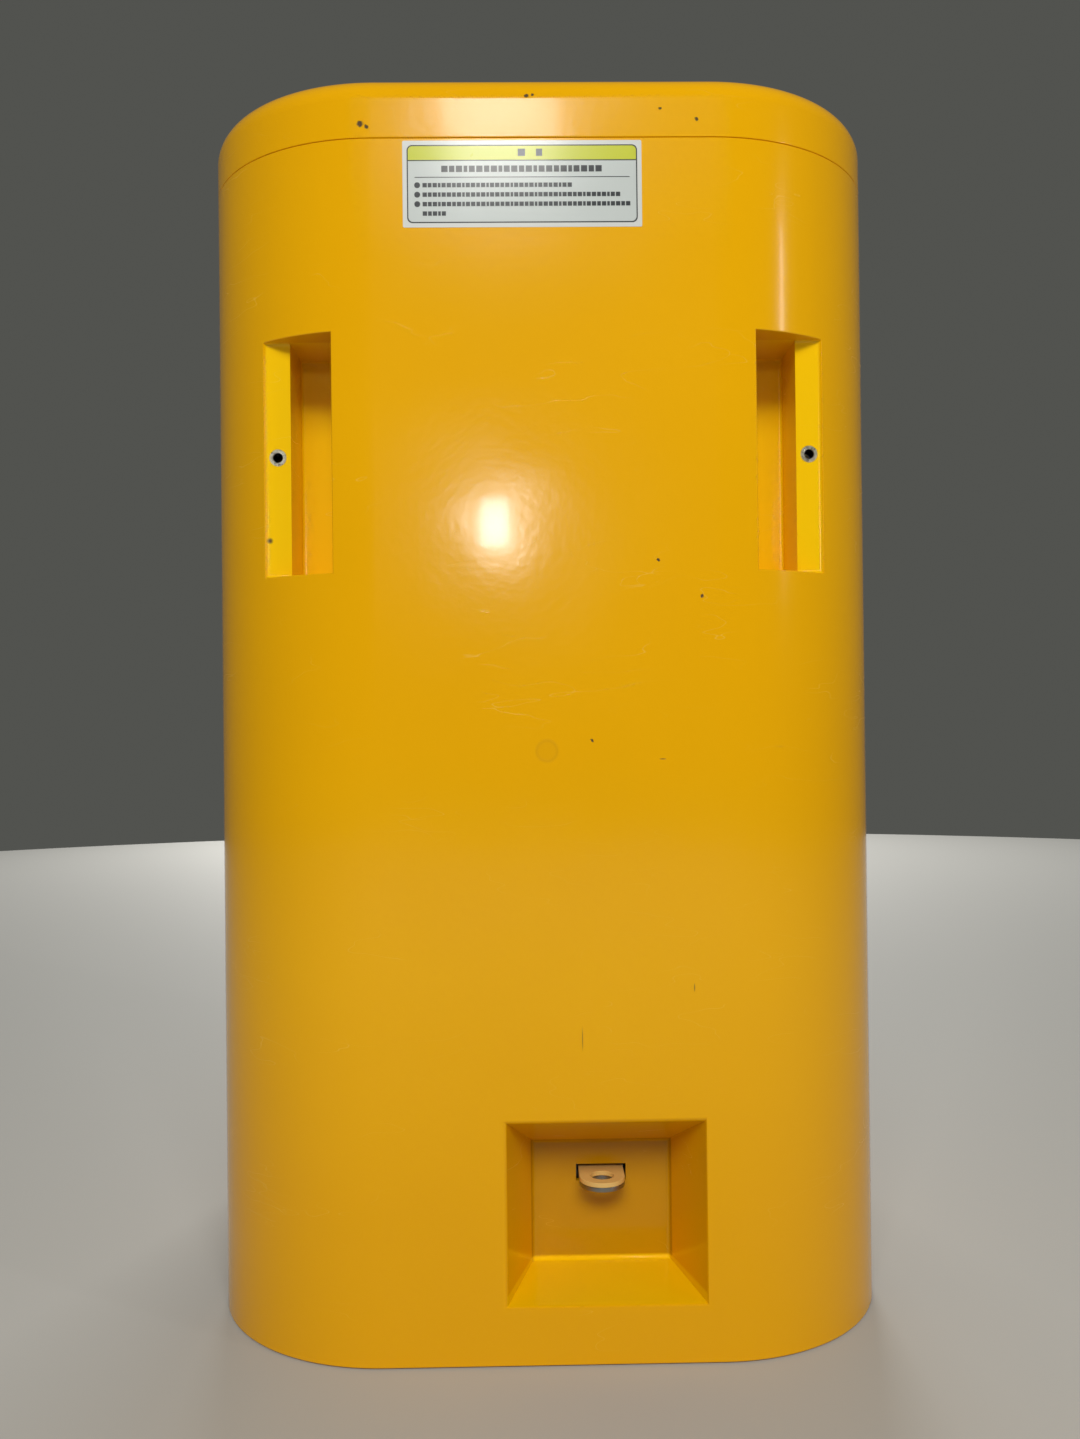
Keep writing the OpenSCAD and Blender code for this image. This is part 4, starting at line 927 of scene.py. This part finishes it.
# The three steps: coin, knob and ticket on white discs, with arrows between them
for x in (-STEP_X, 0.0, STEP_X):
    card.append(ink_disc(x, STEPS_Z, 0.0140, 2, white_film))
for radius, layer, ink in ((0.0080, 3, card_yellow), (0.0060, 4, white_film), (0.0042, 5, card_yellow)):
    card.append(ink_disc(-STEP_X, STEPS_Z, radius, layer, ink))
card += [ink_disc(0, STEPS_Z, 0.0085, 3, dark_ink),
         ink_block(0, STEPS_Z, 0.0018, 0.0075, 4, white_film, 0.0015),
         ink_block(STEP_X, STEPS_Z, 0.0055, 0.0085, 3, card_red, 0.001),
         ink_block(STEP_X, STEPS_Z, 0.0045, 0.0075, 4, white_film, 0.0008),
         ink_block(STEP_X, STEPS_Z + 0.0040, 0.0045, 0.0018, 5, card_red)]
for x in (-STEP_X / 2, STEP_X / 2):
    tip = arrow("card_ink", (x - 0.003, CARD_BASE - 2 * INK_LAYER, STEPS_Z - 0.0045),
                (x + 0.003, INK_BACK, STEPS_Z + 0.0045), 0, 1)
    tip.data.materials.append(card_blue)
    card.append(tip)
card = join_all("printed_card", card)
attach(card, "door")
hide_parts("display_card")
soften("window_retainer", "card_frame", 0.0004, black)
soften("retainer_screws", "frame_screws_small", 0.0002, zinc)

# ---------------------------------------------------------------- knob and bezel
# A black turning knob with a raised grip bar and a fluted rim. Its bezel carries a dial of raised white
# ticks, with a longer one at each quarter turn.
KNOB_LOW, KNOB_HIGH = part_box("knob")
KNOB_Z = (KNOB_LOW[2] + KNOB_HIGH[2]) / 2
KNOB_RADIUS = (KNOB_HIGH[2] - KNOB_LOW[2]) / 2
FLUTES, FLUTE_RADIUS, FLUTE_CENTRE = 30, 0.0011, KNOB_RADIUS + 0.0003
TICKS, TICK_HALF, TICK_START, TICK_END = 24, 0.0004, 0.0338, 0.0364
pointer, tree, shader = new_material("knob_black", Specular_IOR_Level=0.5)
axes = add_node(tree, "SeparateXYZ", {}, {0: object_place(tree)}).outputs
wear = handled(tree, 3.0, 1.0, 0.6)
skin = add_node(tree, "Group", {"node_tree": moulding}, {"Scale": KNOB_GRAIN}).outputs
stripe = times(remap(number("ABSOLUTE", axes[0]), 0.00105, 0.00095),
               times(remap(axes[2], KNOB_Z + 0.0040, KNOB_Z + 0.0042),
                     remap(axes[1], KNOB_LOW[1] + 0.0020, KNOB_LOW[1] + 0.0016)))
tone = mix_color(wear["Blotch"], (0.018, 0.018, 0.020, 1), (0.024, 0.023, 0.022, 1))
tone = mix_color(stripe, tone, (0.78, 0.77, 0.72, 1))
feed(shader, Base_Color=mix_color(times(wear["Scratch"], 0.5), tone, (0.2, 0.2, 0.2, 1)),
     Roughness=remap(wear["Blotch"], 0.3, 0.7, 0.28, 0.42), Normal=bumped(skin["Texture"], 0.5, 0.0002))


def flute(piece):
    """Cuts the finger flutes into the knob's rim."""
    cutters = []
    for step in range(FLUTES):
        angle = math.tau * step / FLUTES
        x, z = math.sin(angle) * FLUTE_CENTRE, KNOB_Z + math.cos(angle) * FLUTE_CENTRE
        cutters.append(rod("flute", (x, KNOB_LOW[1] + 0.010, z), (x, KNOB_HIGH[1] + 0.002, z),
                           FLUTE_RADIUS, 10))
    combine(piece, join_all("flutes", cutters))


soften("knob", "turning_knob", 0.0005, pointer, 3, shape=flute)
BEZEL_FACE = DOOR_FACE - 0.0020
soften("knob_bezel", "dial_bezel", 0.0005, black, 3)
white = moulded("white_moulding", (0.70, 0.70, 0.66, 1), 0.34, 0.00004, (0.5, 0.5, 0.48, 1))
ticks = []
for step in range(TICKS):
    long = step % 6 == 0
    half = TICK_HALF + 0.0003 * long
    tick = block("tick", (-half, BEZEL_FACE - 0.0002, TICK_START - 0.0006 * long),
                 (half, BEZEL_FACE + 0.0001, TICK_END))
    tick.data.transform(Matrix.Translation((0, 0, KNOB_Z)) @ Matrix.Rotation(math.tau * step / TICKS, 4, "Y"))
    ticks.append(tick)
ticks = join_all("dial_ticks", ticks)
ticks.data.materials.append(white)
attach(ticks, "door")

# ---------------------------------------------------------------- coin entry
# A chromed plate with a raised lip round its slot, two rivets and a red return button. Behind it a white
# moulded chute leads the coins down to the cup or the cash drawer.
chrome = metal("chromed_plate", (0.72, 0.72, 0.73, 1), 0.10, (1, 1, 30), 0.90, 0.03)
soften("coin_plate", "coin_entry_plate", 0.0004, chrome, 3)
PLATE_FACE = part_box("coin_plate")[0][1]
SLOT_X, SLOT_Z = 0.060, 0.262
LIP_HALF, LIP_REACH, LIP_RISE = 0.0040, 0.0165, 0.0009
RIVET_X, RIVET_RADIUS, RIVET_RISE = 0.0870, 0.0019, 0.0008
lip = block("coin_lip", (SLOT_X - LIP_HALF, PLATE_FACE - LIP_RISE, SLOT_Z - LIP_REACH),
            (SLOT_X + LIP_HALF, PLATE_FACE, SLOT_Z + LIP_REACH))
round_edges(lip, lambda e: along(e, 1), 0.0030, 8)
combine(lip, block("inside", (SLOT_X - 0.0015, -0.2, SLOT_Z - 0.0140), (SLOT_X + 0.0015, 0, SLOT_Z + 0.0140)))


def round_front(piece, front, radius):
    """Rounds the edges of a piece that lie at its front face."""
    round_edges(piece, lambda e: rim(e, (-1, front - 1e-5, 0), (1, front + 1e-5, 1)), radius, 3)


round_front(lip, PLATE_FACE - LIP_RISE, 0.0004)
rivets = [lip]
for z in (0.2450, 0.2810):
    rivet = rod("rivet", (RIVET_X, PLATE_FACE - RIVET_RISE, z), (RIVET_X, PLATE_FACE, z), RIVET_RADIUS, 24)
    round_front(rivet, PLATE_FACE - RIVET_RISE, 0.0006)
    rivets.append(rivet)
lip = join_all("coin_lip", rivets)
smooth(lip)
lip.data.materials.append(chrome)
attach(lip, "door")
red = moulded("red_moulding", (0.46, 0.020, 0.014, 1), 0.22, 0.00002, (0.6, 0.2, 0.17, 1), Coat_Weight=0.3)
soften("reject_button", "return_button", 0.0007, red, 3)
finish_nodes(white, "coin_chute", "rack_bar")

# ---------------------------------------------------------------- ticket outlet and coin return
# Two black moulded trays open through the door. A clear flap hangs in front of the ticket outlet, and a
# chromed flap in front of the coin return.
soften("outlet_chute", "ticket_tray", 0.0004, black, 3)
soften("return_cup", "coin_tray", 0.0004, black, 3)
finish_nodes(clear, "outlet_flap")
soften("return_flap", "coin_flap", 0.0004, chrome, 3)

# ---------------------------------------------------------------- mechanism
# Behind the knob a steel plate on four pillars carries the shaft, a brass pinion and a notched disc. The
# pinion drives a white rack, whose steel finger pushes one ticket down, and a black lever locks the disc.
soften("mechanism_plate", "carrier_plate", 0.0003, steel)
brass = metal("cut_brass", (0.62, 0.44, 0.17, 1), 0.24, (1, 30, 1), 0.80, 0.08)
finish_nodes(zinc, "plate_standoffs", "knob_shaft", "latch_pin")
finish_nodes(brass, "pinion_gear")
finish_nodes(steel, "latch_disc", "push_finger")
finish_nodes(black, "coin_latch", "rack_guide")

# ---------------------------------------------------------------- locks
# Two cam locks with chromed flanged bodies and brass plugs with an upright keyway. Their plated cams turn
# behind the strikes on the cabinet's front wall.
for place_name in ("door", "drawer"):
    soften(place_name + "_lock_body", place_name + "_lock_case", 0.0004, chrome, 3)
    soften(place_name + "_lock_plug", place_name + "_lock_barrel", 0.0002, brass)
    finish_nodes(steel, place_name + "_lock_cam")

# ---------------------------------------------------------------- cash drawer
# A deep black moulded tray behind a cream front, with a round pull bar on two posts.
soften("cash_drawer", "coin_box", 0.0005, black)
soften("drawer_front", "drawer_panel", 0.0007, cream, 3)
soften("drawer_pull", "pull_bar", 0.0008, black, 3)
